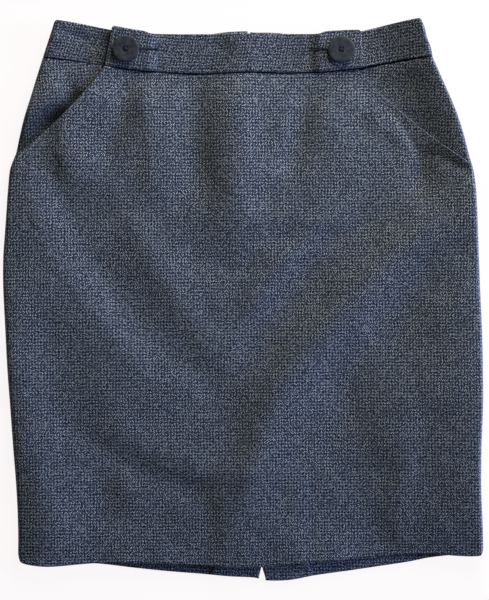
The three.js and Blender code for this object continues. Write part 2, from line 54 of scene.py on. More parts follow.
# Cloth
CLOTH = 1.2  # wall of one layer of tweed
BAND = 2.4  # wall of the doubled, stiffened waistband
SEAM = 0.3  # gap between two pieces sewn edge to edge
LAYER = 0.3  # gap between a layer and the one on it
TURN_UP = 35.0  # depth of the hem turned up inside
TURN_STEP = 5.0  # length over which the turned-up edge fades

# Form of the laid front
FRONT_REST = 7.4  # height of the front's face where no fold crosses it
SIDE_FACE = 2.85  # height of its face at the side edges
SIDE_ROUND = 4.2  # width over which it rounds down to them
WAIST_FACE = 5.0  # height of its face at the waist seam
WAIST_ROUND = 40.0  # length over which it settles to that seam
SOFTNESS = 0.4  # how softly a layer passes from its own form onto what lies beneath

# Centre back, slit and zip
CENTRE_WAIST = (5.8, 278.0)
CENTRE_HEM = (19.5, -278.0)
SLIT_SPREAD = 3.3
SLIT_MOUTH = 16.0
FACING_WIDTH = 48.0
FACING_LENGTH = 120.0
FACING_SHOWS = 1.2  # how far the front rises over the facings

# Pocket mouths: where each meets the waist seam, where it ends at the side edge, and its sideways bow
MOUTH_LEFT = {"waist": -144.2, "end": (-236.3, 151.0), "sag": 5.0, "inward": 1}
MOUTH_RIGHT = {"waist": 118.3, "end": (234.4, 142.5), "sag": -4.5, "inward": -1}
MOUTH_TURN = 24.0  # width of the cloth turned under along a mouth
MOUTH_THICK = 0.6  # what that adds to the wall
MOUTH_FACE = 4.9  # height of the front's face at the right mouth, where it lies close on the hip piece
MOUTH_ROUND = 26.0  # width over which it settles to that
HIP_BOTTOM = 117.0
HIP_UNDERLAP = 38.0
HIP_RISE = 1.7
HIP_CLIMB = 30.0

# Waistband tabs, buttonholes and buttons
TAB_LEFT = {"top": -135.9, "seam": -144.3, "step": -98.0, "foot": -88.0, "hidden": -102.5}
TAB_RIGHT = {"top": 122.2, "seam": 125.1, "step": 80.0, "foot": 70.0, "hidden": 84.5}
FRONT_LEVEL = BAND + LAYER
BAND_TILT = 0.085  # slope of the laid waistband, which rises from its seam to its top edge
TAB_LEVEL = FRONT_LEVEL + BAND + LAYER
BAND_CORNER = 4.0  # radius of the waistband's side corners, of its tabs' and of the hem's
TAB_CORNER = 3.0
HEM_CORNER = 5.0
SHADE_STRIP_HALF = 0.95  # half the width of the painted shade strip inside the waist seam
SHADE_STRIP_DEPTH = 0.06  # how far it lies below the faces beside it
BUTTON_LEFT = (-121.9, 260.7)
BUTTON_RIGHT = (101.7, 260.2)
HOLE_RADIUS = 1.1
HOLE_SPACING = 3.2
BUTTONHOLE_LENGTH = 32.0
BUTTONHOLE_WIDTH = 1.0
SLIT_TOP = 20.0  # height above every fold of the waistband
BUTTON_PROFILE = np.array([  # from the back's middle out and up to the face's middle: radius and height
    (0.0, 0.0), (9.0, 0.0), (12.0, 0.05), (13.2, 0.25), (13.8, 0.6), (14.0, 0.95), (13.9, 1.3),
    (13.5, 1.55), (12.9, 1.72), (12.2, 1.82), (11.4, 1.86), (10.4, 1.84), (9.0, 1.78), (7.0, 1.72),
    (5.0, 1.7), (4.2, 1.66), (3.6, 1.56), (2.0, 1.52), (0.0, 1.52),
])

# Painted shade, as a part of the way from the weave's tones to its darkest, for places that get less
# light: behind the left mouth, behind the left tab, and where the cloth falls away towards the right hip
POCKET_SHADE = 0.96
POCKET_SHADE_MIDDLE = 193.0
POCKET_SHADE_LENGTH = 27.0
POCKET_SHADE_WIDTH = 20.0
TAB_SHADE = 0.5
TAB_SHADE_WIDTH = 6.0
TAB_FOOT = 244.0
TAB_HEIGHT = 40.0
FAR_SHADE = 0.22
FAR_SHADE_FROM = 152.0
FAR_SHADE_TO = 198.0

# Side edges of the laid skirt
SIDE_EDGES = table(
    "y left right",
    (-268, -234.3, 249.9),
    (-237, -234.3, 249.3),
    (-195, -236.3, 247.6),
    (-154, -239.5, 247.8),
    (-112, -242.6, 249.3),
    (-70, -245.7, 249.3),
    (-29, -247.8, 248.3),
    (13, -249.9, 246.4),
    (44, -249.9, 245.3),
    (75, -247.8, 244.1),
    (117, -244.7, 242.1),
    (137, -242.4, 238.9),
    (151, -237.2, 234.9),
    (169, -233.2, 230.4),
    (190, -228.0, 224.0),
    (210, -221.8, 216.1),
    (231, -215.5, 206.7),
    (253, -208.6, 197.0),
)

# Side edges of the waistband
BAND_EDGES = table(
    "y left right",
    (252.5, -208.6, 197.0),
    (262, -205.5, 195.3),
    (273, -201.9, 191.1),
    (283, -198.6, 188.6),
    (292.4, -195.8, 184.9),
)

# Hem of the front
FRONT_HEM = table(
    "x y",
    (-234.3, -268.0),
    (-231.5, -272.3),
    (-222, -275.4),
    (-201, -277.0),
    (-151, -273.3),
    (-113, -273.6),
    (-56, -275.1),
    (-12, -277.5),
    (20, -277.5),
    (65, -273.3),
    (114, -269.2),
    (159, -265.0),
    (196, -264.0),
    (225, -266.0),
    (246, -265.8),
    (249.9, -262.5),
)

# Hem of the back, which hangs below the front's in the middle
BACK_HEM = table(
    "x y",
    (-234.3, -266.0),
    (-222, -272.5),
    (-180, -273.6),
    (-149, -274.8),
    (-113, -279.0),
    (-76, -282.7),
    (-45, -285.1),
    (-14, -287.9),
    (12, -289.2),
    (24, -292.0),
    (49, -291.5),
    (74, -286.8),
    (111, -281.6),
    (142, -277.0),
    (173, -272.3),
    (194, -268.1),
    (225, -264.6),
    (249.9, -261.5),
)

# Seam between the waistband and the panels
WAIST_SEAM = table(
    "x y",
    (-208.6, 252.4),
    (-175, 248.6),
    (-147.6, 244.1),
    (-120, 240.2),
    (-87, 237.2),
    (-45, 235.2),
    (5, 237.0),
    (46, 236.1),
    (80, 237.4),
    (102, 239.4),
    (127, 242.2),
    (163, 248.2),
    (197, 252.9),
)

# Top edges of the front waistband with its tabs, of the side ones and of the back one
FRONT_BAND_TOP = table(
    "x y",
    (-135.9, 285.2),
    (-113.6, 281.0),
    (-102, 279.3),
    (-96, 277.0),
    (-45, 276.4),
    (0, 276.8),
    (60, 276.5),
    (79, 276.8),
    (85, 279.0),
    (108, 280.4),
    (122.2, 280.6),
)
SIDE_BAND_TOP = table(
    "x y",
    (-195.8, 291.4),
    (-170, 287.2),
    (-136, 280.6),
    (-99, 275.0),
    (81, 274.6),
    (122, 279.4),
    (148, 285.2),
    (167, 289.3),
    (184.9, 292.4),
)
BACK_BAND_TOP = table(
    "x y",
    (-195.8, 290.6),
    (-170, 286.2),
    (-136, 279.6),
    (-99, 274.6),
    (-45, 275.6),
    (-20, 279.0),
    (2, 280.2),
    (10, 279.0),
    (32, 278.6),
    (60, 275.8),
    (81, 274.0),
    (122, 278.6),
    (148, 284.4),
    (167, 288.5),
    (184.9, 291.6),
)

# Folds of the front panel: how far each rises or sinks, its width on its left and right, and its line
FRONT_FOLDS = (
    (4.6, 27, 24, (236, 120), (188, 78), (142, 31), (113, 0), (80, -41), (56, -73), (28, -114), (13, -166),
     (-9, -240)),
    (-2.2, 20, 20, (150, 100), (90, 58), (49, 0), (17, -41), (8, -66)),
    (-1.8, 34, 26, (205, 52), (184, 8), (153, -41), (113, -83), (95, -145)),
    (-1.4, 25, 14, (-201, 150), (-178, 89), (-159, 52), (-138, 21), (-112, -15), (-82, -47), (-53, -73),
     (-14, -106)),
    (1.4, 16, 20, (-123, 94), (-92, 41), (-66, -4), (-35, -39), (-10, -66)),
    (2.8, 18, 55, (-232, 142), (-216, 84), (-200, 40), (-168, 0), (-133, -47), (-100, -83), (-61, -102)),
    (4.0, 21, 27, (0, 300), (-5, 208), (-6, 156), (-6, 104), (-9, 62)),
    (-2.6, 15, 16, (-50, 260), (-50, 198), (-48, 156), (-44, 100)),
    (1.9, 24, 12, (-104, 238), (-99, 177), (-90, 110)),
    (-1.6, 12, 12, (-122, 240), (-128, 190), (-150, 140)),
    (3.8, 28, 14, (-140, 252), (-166, 219), (-180, 200), (-186, 175), (-185, 150), (-178, 118)),
    (-3.0, 15, 14, (66, 232), (60, 178), (48, 128)),
    (0.7, 18, 24, (78, 206), (111, 150), (150, 118)),
    (-1.0, 9, 16, (104, 203), (132, 177), (162, 150)),
    (1.3, 10, 10, (2, 84), (55, 85), (118, 83)),
    (-1.1, 9, 9, (5, 64), (55, 63), (105, 70)),
    (-1.2, 14, 14, (-61, 63), (-45, 31), (-14, 37), (17, 42)),
    (1.9, 13, 13, (0, -12), (30, 24), (48, 47), (95, 82)),
    (-4.2, 14, 11, (163, 206), (178, 186), (186, 156), (184, 112)),
    (8.6, 9, 38, (209, 250), (224, 200), (239, 150), (250, 92), (256, 56)),
    (-1.3, 11, 14, (-180, -125), (-154, -150), (-107, -178), (-45, -200), (-29, -225)),
    (4.0, 28, 28, (-240, 30), (-236, -52), (-230, -104), (-220, -156), (-206, -208), (-200, -285)),
    (-1.8, 20, 20, (-150, -166), (-142, -239)),
    (1.6, 18, 18, (-149, -120), (-87, -157), (-45, -173), (2, -180)),
    (8.0, 9, 74, (247, 90), (251, -120), (250, -290)),
    (1.0, 13, 14, (165, -110), (166, -180), (158, -260)),
    (2.4, 60, 95, (120, -118), (200, -112), (290, -105)),
    (-4.2, 75, 30, (110, -285), (190, -290), (290, -290)),
)

# Folds of the hip pieces and creases of the waistband, in the same columns
HIP_FOLDS = (
    (13.0, 9, 38, (193, 300), (205, 250), (221, 204), (239, 150), (257, 96)),
    (4.0, 30, 9, (-192, 300), (-204, 250), (-218, 204), (-236, 150)),
    (4.4, 14, 26, (-128, 268), (-150, 238), (-178, 212)),
    (6.6, 20, 19, (-246, 186), (-210, 205), (-182, 220)),
)
BAND_FOLDS = (
    (-1.3, 5, 6, (-190, 278), (-150, 269), (-136, 266)),
    (-1.0, 7, 7, (-72, 266), (-10, 259)),
    (11.5, 9, 38, (184, 320), (208, 225)),
    (4.0, 30, 9, (-188, 320), (-208, 225)),
    (2.8, 24, 24, (4, 310), (0, 215)),
    (-1.6, 16, 16, (-50, 310), (-50, 215)),
)

# Slow unevenness of cloth that has been worn and laid down: waves with a direction, a length and a height
RIPPLES = table(
    "turn length phase height",
    (12, 96, 0.4, 0.22),
    (68, 71, 2.1, 0.18),
    (131, 58, 4.0, 0.15),
    (97, 43, 1.3, 0.10),
    (31, 37, 5.2, 0.09),
    (160, 29, 3.1, 0.06),
)


def mix(a, b, t):
    return a + (b - a) * t


def ramp(low, high, place):
    """0 below low, 1 above high, and a smooth step between."""
    t = np.clip((place - low) / (high - low), 0, 1)
    return t * t * (3 - 2 * t)


def highest(a, b):
    """The higher of two heights, rounded where they cross."""
    return 0.5 * (a + b + np.hypot(a - b, SOFTNESS))


def through(rows, at, value):
    """A smooth curve through a table's rows: cubic pieces, sloped at a row as its neighbours lie."""
    places, values = rows[at], rows[value]
    last = len(places) - 1
    before = np.maximum(np.arange(last + 1) - 1, 0)
    after = np.minimum(np.arange(last + 1) + 1, last)
    slopes = (values[after] - values[before]) / (places[after] - places[before])

    def curve(place):
        i = np.clip(np.searchsorted(places, place) - 1, 0, last - 1)
        span = places[i + 1] - places[i]
        t = np.clip((place - places[i]) / span, 0, 1)
        rise = (values[i + 1] - values[i]) / span
        bend = (1 - t) * (slopes[i] - rise) - t * (slopes[i + 1] - rise)
        return mix(values[i], values[i + 1], t) + span * t * (1 - t) * bend

    return curve


side_left = through(SIDE_EDGES, "y", "left")
side_right = through(SIDE_EDGES, "y", "right")
band_left = through(BAND_EDGES, "y", "left")
band_right = through(BAND_EDGES, "y", "right")
front_hem = through(FRONT_HEM, "x", "y")
back_hem = through(BACK_HEM, "x", "y")
waist_seam = through(WAIST_SEAM, "x", "y")
front_band_top = through(FRONT_BAND_TOP, "x", "y")
side_band_top = through(SIDE_BAND_TOP, "x", "y")
back_band_top = through(BACK_BAND_TOP, "x", "y")


def centre_back(y):
    """Where the centre back seam is at a height y."""
    return mix(CENTRE_HEM[0], CENTRE_WAIST[0], (y - CENTRE_HEM[1]) / (CENTRE_WAIST[1] - CENTRE_HEM[1]))


def pocket_mouth(mouth):
    """A mouth's points from 0 at the side edge to 1 at the waist seam: a straight run, bowed sideways."""
    end_x, end_y = mouth["end"]
    run_x = mouth["waist"] - end_x
    run_y = waist_seam(mouth["waist"]) - SEAM - end_y
    length = math.hypot(run_x, run_y)

    def points(t):
        bow = 4 * t * (1 - t) * mouth["sag"] / length
        return end_x + run_x * t + run_y * bow, end_y + run_y * t - run_x * bow

    return points


def inside_mouth(mouth, x, y):
    """How far a point lies inside a pocket mouth, towards the middle of the front; negative outside it."""
    end_x, end_y = mouth["end"]
    run_x = mouth["waist"] - end_x
    run_y = waist_seam(mouth["waist"]) - end_y
    length = math.hypot(run_x, run_y)
    along = np.clip(((x - end_x) * run_x + (y - end_y) * run_y) / length**2, 0, 1)
    across = (run_y * (x - end_x) - run_x * (y - end_y)) / length
    return mouth["inward"] * (across - 4 * along * (1 - along) * mouth["sag"])


def inside_mouths(x, y):
    """How far a point lies inside both pocket mouths."""
    return np.minimum(inside_mouth(MOUTH_LEFT, x, y), inside_mouth(MOUTH_RIGHT, x, y))


def folds_at(folds, x, y):
    """Sum of soft ridges. Each is a bell across its smoothly bent line, with a width of its own on either
    side, and dies out towards both ends. Places along it are measured on the chord between its ends."""
    total = np.zeros_like(x)
    for rise, width_left, width_right, *line in folds:
        line = np.array(line, float)
        run = line[-1] - line[0]
        length = math.hypot(*run)
        chord = {
            "along": (line - line[0]) @ run / length**2,
            "across": (line - line[0]) @ [-run[1], run[0]] / length,
        }
        along = ((x - line[0, 0]) * run[0] + (y - line[0, 1]) * run[1]) / length**2
        across = ((y - line[0, 1]) * run[0] - (x - line[0, 0]) * run[1]) / length
        off = across - through(chord, "along", "across")(along)
        fade = ramp(-0.1, 0.2, along) * (1 - ramp(0.8, 1.1, along))
        total += rise * fade * np.exp(-((off / np.where(off > 0, width_left, width_right)) ** 2))
    return total


def ripples_at(x, y):
    """Sum of slow sine waves in several directions."""
    total = np.zeros_like(x)
    for turn, length, phase, height in zip(*RIPPLES.values()):
        angle = math.radians(turn)
        along = x * math.cos(angle) + y * math.sin(angle)
        total += height * np.sin(2 * math.pi * along / length + phase)
    return total


def side_rounding(x, left, right):
    """From 0 at two side edges to 1 a little way in, as a quarter circle rises."""
    inset = np.minimum(x - left, right - x)
    return np.sqrt(1 - (1 - np.clip(inset / SIDE_ROUND, 0, 1)) ** 2)


def turned_up(above):
    """1 within the turned-up hem and 0 above it."""
    return 1 - ramp(TURN_UP, TURN_UP + TURN_STEP, above)


def back_face(x, y, spread=0.0):
    return CLOTH * (1 + turned_up(y - back_hem(x) - spread))


def hip_under(mouth, x, y):
    """A hip piece lies on the back, and climbs towards the waistband. Its folds fade beneath the front."""
    outside = -inside_mouth(mouth, x, y)
    climb = ramp(-HIP_CLIMB, 0, y - waist_seam(x)) * ramp(2, 24, outside)
    folds = (folds_at(HIP_FOLDS, x, y) + ripples_at(x, y)) * ramp(-HIP_UNDERLAP, 0, outside)
    lift = (HIP_RISE * climb + folds) * side_rounding(x, side_left(y), side_right(y))
    return highest(CLOTH + LAYER + 0 * x, CLOTH + LAYER + lift)


def hip_face(x, y):
    """Height of the hip pieces' faces."""
    return np.where(x < 0, hip_under(MOUTH_LEFT, x, y), hip_under(MOUTH_RIGHT, x, y)) + CLOTH


def beneath_front(x, y):
    """Height of what lies directly beneath the front: the back, with zip and slit facings in the middle and
    the hip pieces beside the pockets, each spread a little past its own edge."""
    middle = np.abs(x - centre_back(y))
    facing = 1 - ramp(FACING_WIDTH + 2, FACING_WIDTH + 14, middle)
    facing = facing * (1 - ramp(FACING_LENGTH + 14, FACING_LENGTH + 30, y - back_hem(x)))
    zip_cover = (1 - ramp(22, 34, middle)) * ramp(20, 45, y)
    back = back_face(x, y, 7.0) + (CLOTH + LAYER) * np.maximum(facing, zip_cover)
    inside = inside_mouths(x, y)
    hips = 1 - ramp(HIP_UNDERLAP + 12, HIP_UNDERLAP + 30, inside)
    hips = hips * ramp(HIP_BOTTOM - 28, HIP_BOTTOM - 10, y)
    return mix(back, np.maximum(back, hip_face(x, y)), hips)


def over_facings(x, y):
    """1 where the front lies on the slit facings and 0 away from them, with the soft step of their edges."""
    across = 1 - ramp(FACING_WIDTH - 12, FACING_WIDTH + 9, np.abs(x - centre_back(y)))
    return across * (1 - ramp(FACING_LENGTH - 12, FACING_LENGTH + 12, y - back_hem(x)))


def front_form(x, y):
    """The front's own form: level, rounded down at the side edges, settled at the waist seam, and folded."""
    waist = ramp(-WAIST_ROUND, 0, y - waist_seam(x))
    mouth = (1 - ramp(0, MOUTH_ROUND, inside_mouth(MOUTH_RIGHT, x, y))) * ramp(118, 150, y)
    rest = mix(mix(FRONT_REST, MOUTH_FACE, mouth), WAIST_FACE, waist)
    folds = folds_at(FRONT_FOLDS, x, y) + ripples_at(x, y) + FACING_SHOWS * over_facings(x, y)
    return mix(SIDE_FACE, rest + folds * (1 - 0.4 * waist), side_rounding(x, side_left(y), side_right(y)))


def front_wall(x, y):
    inside = inside_mouths(x, y)
    mouth = MOUTH_THICK * (1 - ramp(0.6 * MOUTH_TURN, MOUTH_TURN, inside)) * ramp(120, 160, y)
    return CLOTH * (1 + turned_up(y - front_hem(x))) + mouth


def front_under(x, y):
    return highest(beneath_front(x, y) + LAYER, front_form(x, y) - front_wall(x, y))


def band_folds(x, y):
    """Creases and tilt of the waistband's upper layers, which come down to the side edges."""
    creases = np.maximum(folds_at(BAND_FOLDS, x, y) + 0.5 * ripples_at(x, y), -0.25)
    creases = creases + BAND_TILT * (y - waist_seam(x))
    return creases * side_rounding(x, band_left(y), band_right(y))


def steps(count, length, ends):
    """Even steps from 0 to 1, with finer ones near an end where ends says so, for an edge of that length."""
    fine = np.array([0, 0.12, 0.35, 0.7, 1.2, 2.0, 3.2, 5.0, 7.5]) / length
    start = fine if ends[0] else np.array([0.0])
    stop = 1 - fine[::-1] if ends[1] else np.array([1.0])
    middle = np.linspace(start[-1], stop[0], count + 1)[1:-1]
    return np.concatenate([start, middle, stop])


def patch(left, right, bottom, top):
    """A four-sided patch in plan. left and right give points for a height 0 to 1, bottom and top heights for
    a place x. Rows run straight from left to right, bent by what bottom and top depart from their chords."""

    def bow(edge, a, b, s):
        return edge(mix(a, b, s)) - mix(edge(a), edge(b), s)

    def plan(s, t):
        (ax, ay), (bx, by) = left(t), right(t)
        low = bow(bottom, left(0.0)[0], right(0.0)[0], s)
        high = bow(top, left(1.0)[0], right(1.0)[0], s)
        return mix(ax, bx, s), mix(ay, by, s) + mix(low, high, t)

    return plan


def run_lengths(x, y, axis):
    """Distances along a grid's rows or columns from their first points."""
    lengths = np.hypot(np.diff(x, axis=axis), np.diff(y, axis=axis)).cumsum(axis=axis)
    return np.concatenate([np.zeros_like(np.take(lengths, [0], axis=axis)), lengths], axis=axis)


def spare_lengths(x, y, z, axis):
    """How much longer a surface is than its plan, along a grid's rows or columns, from the middle of each."""
    flat = np.hypot(np.diff(x, axis=axis), np.diff(y, axis=axis))
    spare = (np.hypot(flat, np.diff(z, axis=axis)) - flat).cumsum(axis=axis)
    spare = np.concatenate([np.zeros_like(np.take(spare, [0], axis=axis)), spare], axis=axis)
    return spare - np.take(spare, [spare.shape[axis] // 2], axis=axis)


def put_object(name, data):
    """A new object in the scene."""
    made = bpy.data.objects.new(name, data)
    bpy.context.collection.objects.link(made)
    return made


def put_mesh(name, vertices, faces, uv=None, shade=None, sharp=35.0):
    """A mesh object at the origin from points in millimetres, four-cornered faces, a point's grain place and
    its painted shade."""
    mesh = bpy.data.meshes.new(name)
    mesh.vertices.add(len(vertices))
    mesh.vertices.foreach_set("co", (np.asarray(vertices) * MM).astype(np.float32).ravel())
    faces = np.asarray(faces)
    corners = faces.shape[1]
    mesh.loops.add(faces.size)
    mesh.loops.foreach_set("vertex_index", faces.astype(np.int32).ravel())
    mesh.polygons.add(len(faces))
    mesh.polygons.foreach_set("loop_start", np.arange(0, faces.size, corners, dtype=np.int32))
    mesh.update(calc_edges=True)
    if uv is not None:
        layer = mesh.uv_layers.new(name="grain")
        layer.data.foreach_set("uv", np.asarray(uv)[faces.ravel()].astype(np.float32).ravel())
    if shade is not None:
        # painted shade: how dark each point's weave is painted
        mesh.attributes.new("shade", "FLOAT", "POINT").data.foreach_set("value", shade.astype(np.float32))
    mesh.validate()
    mesh.shade_smooth()
    mesh.set_sharp_from_angle(angle=math.radians(sharp))
    return put_object(name, mesh)


def round_corner(over, up, radius):
    """Moves a corner's square of the given radius onto a quarter disc. over and up are the distances from the
    corner's two sides. With p and q as 1 less distance over radius, p goes to p * sqrt(1 - q * q / 2), and q
    likewise."""
    p, q = np.clip(1 - over / radius, 0, 1), np.clip(1 - up / radius, 0, 1)
    return radius * p * (1 - np.sqrt(1 - q * q / 2)), radius * q * (1 - np.sqrt(1 - p * p / 2))


def shell(name, plan, s, t, under, face, rounds, grain, corners=(0, 0, 0, 0), shade=None):
    """A closed wall over a plan patch. Its rim is rounded at each side that has a radius in rounds (left,
    right, bottom, top): both faces close on the wall's middle as a quarter circle does. grain gives the
    weave's place from x, y and the distances along the rows and columns. corners gives the plan's corners
    their radii: lower left, lower right, upper left, upper right. shade says how dark a place is painted, as
    painted shade."""
    across, along = np.meshgrid(s, t)
    x, y = plan(across, along)
    over, up = run_lengths(x, y, 1), run_lengths(x, y, 0)
    width, height = over[:, -1:], up[-1:, :]
    for i, radius in enumerate(corners):
        if radius:
            right, top = i % 2, i // 2
            in_x, in_y = round_corner(width - over if right else over, height - up if top else up, radius)
            across = across + (-in_x if right else in_x) / width
            along = along + (-in_y if top else in_y) / height
    x, y = plan(across, along)
    low, high = under(x, y), face(x, y)
    over, up = run_lengths(x, y, 1), run_lengths(x, y, 0)
    distances = (over, over[:, -1:] - over, up, up[-1:, :] - up)
    full = np.ones_like(x)
    for distance, radius in zip(distances, rounds):
        if radius:
            full = full * np.sqrt(1 - 0.985 * (1 - np.clip(distance / radius, 0, 1)) ** 2)
    middle, half = (low + high) / 2, (high - low) / 2 * full
    faces = (middle - half, middle + half)
    points = np.concatenate([np.stack([x, y, z], axis=-1).reshape(-1, 3) for z in faces])
    place_u, place_v = grain(x, y, over, up)
    places = []
    for z in faces:
        longer_u, longer_v = spare_lengths(x, y, z, 1), spare_lengths(x, y, z, 0)
        places.append(np.stack([place_u + longer_u, place_v + longer_v], axis=-1).reshape(-1, 2))
    # painted shade for each point of both faces
    depth = None if shade is None else np.tile(shade(x, y).ravel(), 2)
    return put_mesh(name, points, wall_faces(*x.shape), np.concatenate(places), depth)


def wall_faces(rows, columns):
    """Faces of a wall between a lower grid and an upper one, all facing out."""
    lower = np.arange(rows * columns).reshape(rows, columns)
    upper = lower + rows * columns

    def quads(grid, flip):
        corners = [grid[:-1, :-1], grid[:-1, 1:], grid[1:, 1:], grid[1:, :-1]]
        return np.stack(corners[::-1] if flip else corners, axis=-1).reshape(-1, 4)

    def strip(a, b):
        return np.stack([a[:-1], a[1:], b[1:], b[:-1]], axis=-1)

    return np.concatenate([
        quads(upper, False),
        quads(lower, True),
        strip(lower[0], upper[0]),
        strip(lower[-1, ::-1], upper[-1, ::-1]),
        strip(lower[:, -1], upper[:, -1]),
        strip(lower[::-1, 0], upper[::-1, 0]),
    ])


def straight_grain(turn=0.0, shift=(0.0, 0.0)):
    """Weave laid straight on the piece, turned by an angle in degrees."""
    cos, sin = math.cos(math.radians(turn)), math.sin(math.radians(turn))
    return lambda x, y, over, up: (x * cos + y * sin + shift[0], y * cos - x * sin + shift[1])


def band_grain(shift):
    """Weave that follows a waistband's length."""
    return lambda x, y, over, up: (over + shift[0], up + shift[1])


def dress(piece, node, look, flat, area):
    """The piece takes its finish, hangs from the root body and hides its node. flat and area, the size it was
    cut to, are not used.
    """
    piece.data.materials.append(look)
    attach(piece, "root")
    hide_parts(node)


def plan_area(plan):
    """Area of a plan patch in square metres, as the sum over a grid of its cells."""
    s, t = np.meshgrid(np.linspace(0, 1, 60), np.linspace(0, 1, 60))
    x, y = plan(s, t)
    dx1, dy1 = x[1:, 1:] - x[:-1, :-1], y[1:, 1:] - y[:-1, :-1]
    dx2, dy2 = x[1:, :-1] - x[:-1, 1:], y[1:, :-1] - y[:-1, 1:]
    return float(np.abs(dx1 * dy2 - dx2 * dy1).sum() / 2) * MM * MM


# Shader maths

class Wire:
    """A shader socket that takes part in expressions; each operation adds its own Math node."""

    def __init__(self, look, socket):
        self.look, self.socket = look, socket

    def math(self, operation, *values):
        return self.look.node("ShaderNodeMath", {"operation": operation}, (self, *values))

    def __add__(self, other):
        return self.math("ADD", other)

    __radd__ = __add__

    def __sub__(self, other):
        return self.math("SUBTRACT", other)

    def __rsub__(self, other):
        return self.look.node("ShaderNodeMath", {"operation": "SUBTRACT"}, (other, self))

    def __mul__(self, other):
        return self.math("MULTIPLY", other)

    __rmul__ = __mul__

    def __truediv__(self, other):
        return self.math("DIVIDE", other)


class Look:
    """A material under construction, with one Principled shader."""

    def __init__(self, name, **constants):
        self.material = bpy.data.materials.new(name)
        self.material.use_nodes = True
        self.tree = self.material.node_tree
        self.shader = self.tree.nodes["Principled BSDF"]
        for socket, value in constants.items():
            self.shader.inputs[socket.replace("_", " ")].default_value = value

    def node(self, kind, settings=None, values=(), out=0):
        """A node of that kind. Its settings are set first, then the values or links of its sockets, by place
        or by name. Returns one of its outputs as a Wire."""
        made = self.tree.nodes.new(kind)
        for key, setting in (settings or {}).items():
            if key == "stops":
                self.set_stops(made.color_ramp.elements, setting)
            else:
                setattr(made, key, setting)
        pairs = values.items() if isinstance(values, dict) else enumerate(values)
        for place, value in pairs:
            self.feed(made.inputs[place], value)
        return Wire(self, made.outputs[out])

    def set_stops(self, elements, stops):
        while len(elements) < len(stops):
            elements.new(0.5)
        for element, (place, colour) in zip(elements, stops):
            element.position = place
            element.color = (*colour, 1.0)

    def feed(self, socket, value):
        if isinstance(value, Wire):
            self.tree.links.new(value.socket, socket)
        else:
            socket.default_value = value

    def blend(self, factor, a, b):
        """Two colours mixed by a factor."""
        return self.node("ShaderNodeMix", {"data_type": "RGBA"}, {0: factor, 6: a, 7: b}, out=2)

    def place(self):
        """The place on the piece, in metres."""
        return self.node("ShaderNodeTexCoord", None, (), out=3)

    def noise(self, place, scale, detail=2.0):
        values = {"Vector": place, "Scale": scale, "Detail": detail}
        return self.node("ShaderNodeTexNoise", None, values)

    def chance(self, a, b):
        """A random number from 0 to 1 for each pair of whole numbers."""
        pair = self.node("ShaderNodeCombineXYZ", None, (a, b, 0.0))
        return self.node("ShaderNodeTexWhiteNoise", {"noise_dimensions": "2D"}, {"Vector": pair})

    def finish(self, colour=None, roughness=None, height=None, depth=0.001, strength=1.0):
        """Links what varies over the surface into the shader."""
        if colour is not None:
            self.feed(self.shader.inputs["Base Color"], colour)
        if roughness is not None:
            self.feed(self.shader.inputs["Roughness"], roughness)
        if height is not None:
            values = {"Height": height, "Distance": depth, "Strength": strength}
            self.feed(self.shader.inputs["Normal"], self.node("ShaderNodeBump", None, values))
        return self.material


PICK_X = 3.12  # repeat of the weave across and up the cloth
PICK_Y = 3.38
YARNS = 3  # yarns in a repeat
YARN_TONES = (
    (0.0, (0.0006, 0.0014, 0.0070)),
    (0.3, (0.0120, 0.0155, 0.0275)),
    (0.5, (0.0565, 0.0625, 0.0855)),
    (0.7, (0.1220, 0.1305, 0.1560)),
    (1.0, (0.3550, 0.3580, 0.3620)),
)


def tweed(name):
    """A heathered basket weave on the piece's grain, which is in millimetres. Yarns run both ways, three to a
    repeat, and show in short floats. Each float and each speck of fibre on it has a tone of its own, which
    stands out from its four neighbours', and the gaps between the tufts are dark."""
    look = Look(name, Roughness=0.92, Sheen_Weight=0.12, Sheen_Roughness=0.4, Specular_IOR_Level=0.15)
    grain = look.node("ShaderNodeUVMap", {"uv_map": "grain"})
    sway = look.noise(grain, 0.05, detail=2.0) - 0.5
    u = look.node("ShaderNodeSeparateXYZ", None, (grain,), out=0) + sway * 1.6
    v = look.node("ShaderNodeSeparateXYZ", None, (grain,), out=1) + sway * 1.2
    a, b = u * (YARNS / PICK_X), v * (YARNS / PICK_Y)
    end, pick = a.math("FLOOR"), b.math("FLOOR")
    upright = look.chance(end, ((b + look.chance(end, 7.0) * 5) / 2).math("FLOOR"))
    level = look.chance(((a + look.chance(pick, 19.0) * 5) / 2).math("FLOOR") + 911, pick)
    turn = ((end / 2).math("FLOOR") + (pick / 2).math("FLOOR")).math("PINGPONG", 1.0)
    floats = upright * (1 - turn) + level * turn
    beside = ((1, 0), (-1, 0), (0, 1), (0, -1))
    around = sum(look.chance(end + 577 + i, pick + 131 + j) - 0.5 for i, j in beside)
    specks = look.chance(end + 577, pick + 131) - 0.5 - around * 0.24
    tufts_u = (u * (2 * math.pi / PICK_X)).math("COSINE")
    tufts_v = (v * (2 * math.pi / PICK_Y)).math("COSINE")
    dye = look.noise(grain, 0.02, detail=4.0) - 0.5
    value = 0.430 + (floats - 0.5) * 0.08 + specks * 0.94
    value = value + tufts_u * 0.138 + tufts_v * 0.145 + dye * 0.06
    colour = look.node("ShaderNodeValToRGB", {"stops": YARN_TONES}, (value,))
    # Painted shade: the mesh's shade attribute blends the weave towards its darkest tone where less light
    # falls
    depth = look.node("ShaderNodeAttribute", {"attribute_name": "shade"}, (), out=2)
    colour = look.blend(depth, colour, (*YARN_TONES[0][1], 1))
    round_u = (a.math("FRACT") * math.pi).math("SINE")
    round_v = (b.math("FRACT") * math.pi).math("SINE")
    height = round_u * round_v * 0.25 + tufts_u * 0.16 + tufts_v * 0.06 + specks * 0.15
    return look.finish(colour=colour, height=height, depth=0.0004, strength=0.6)


cloth_look = tweed("tweed")
band_look = tweed("band_tweed")


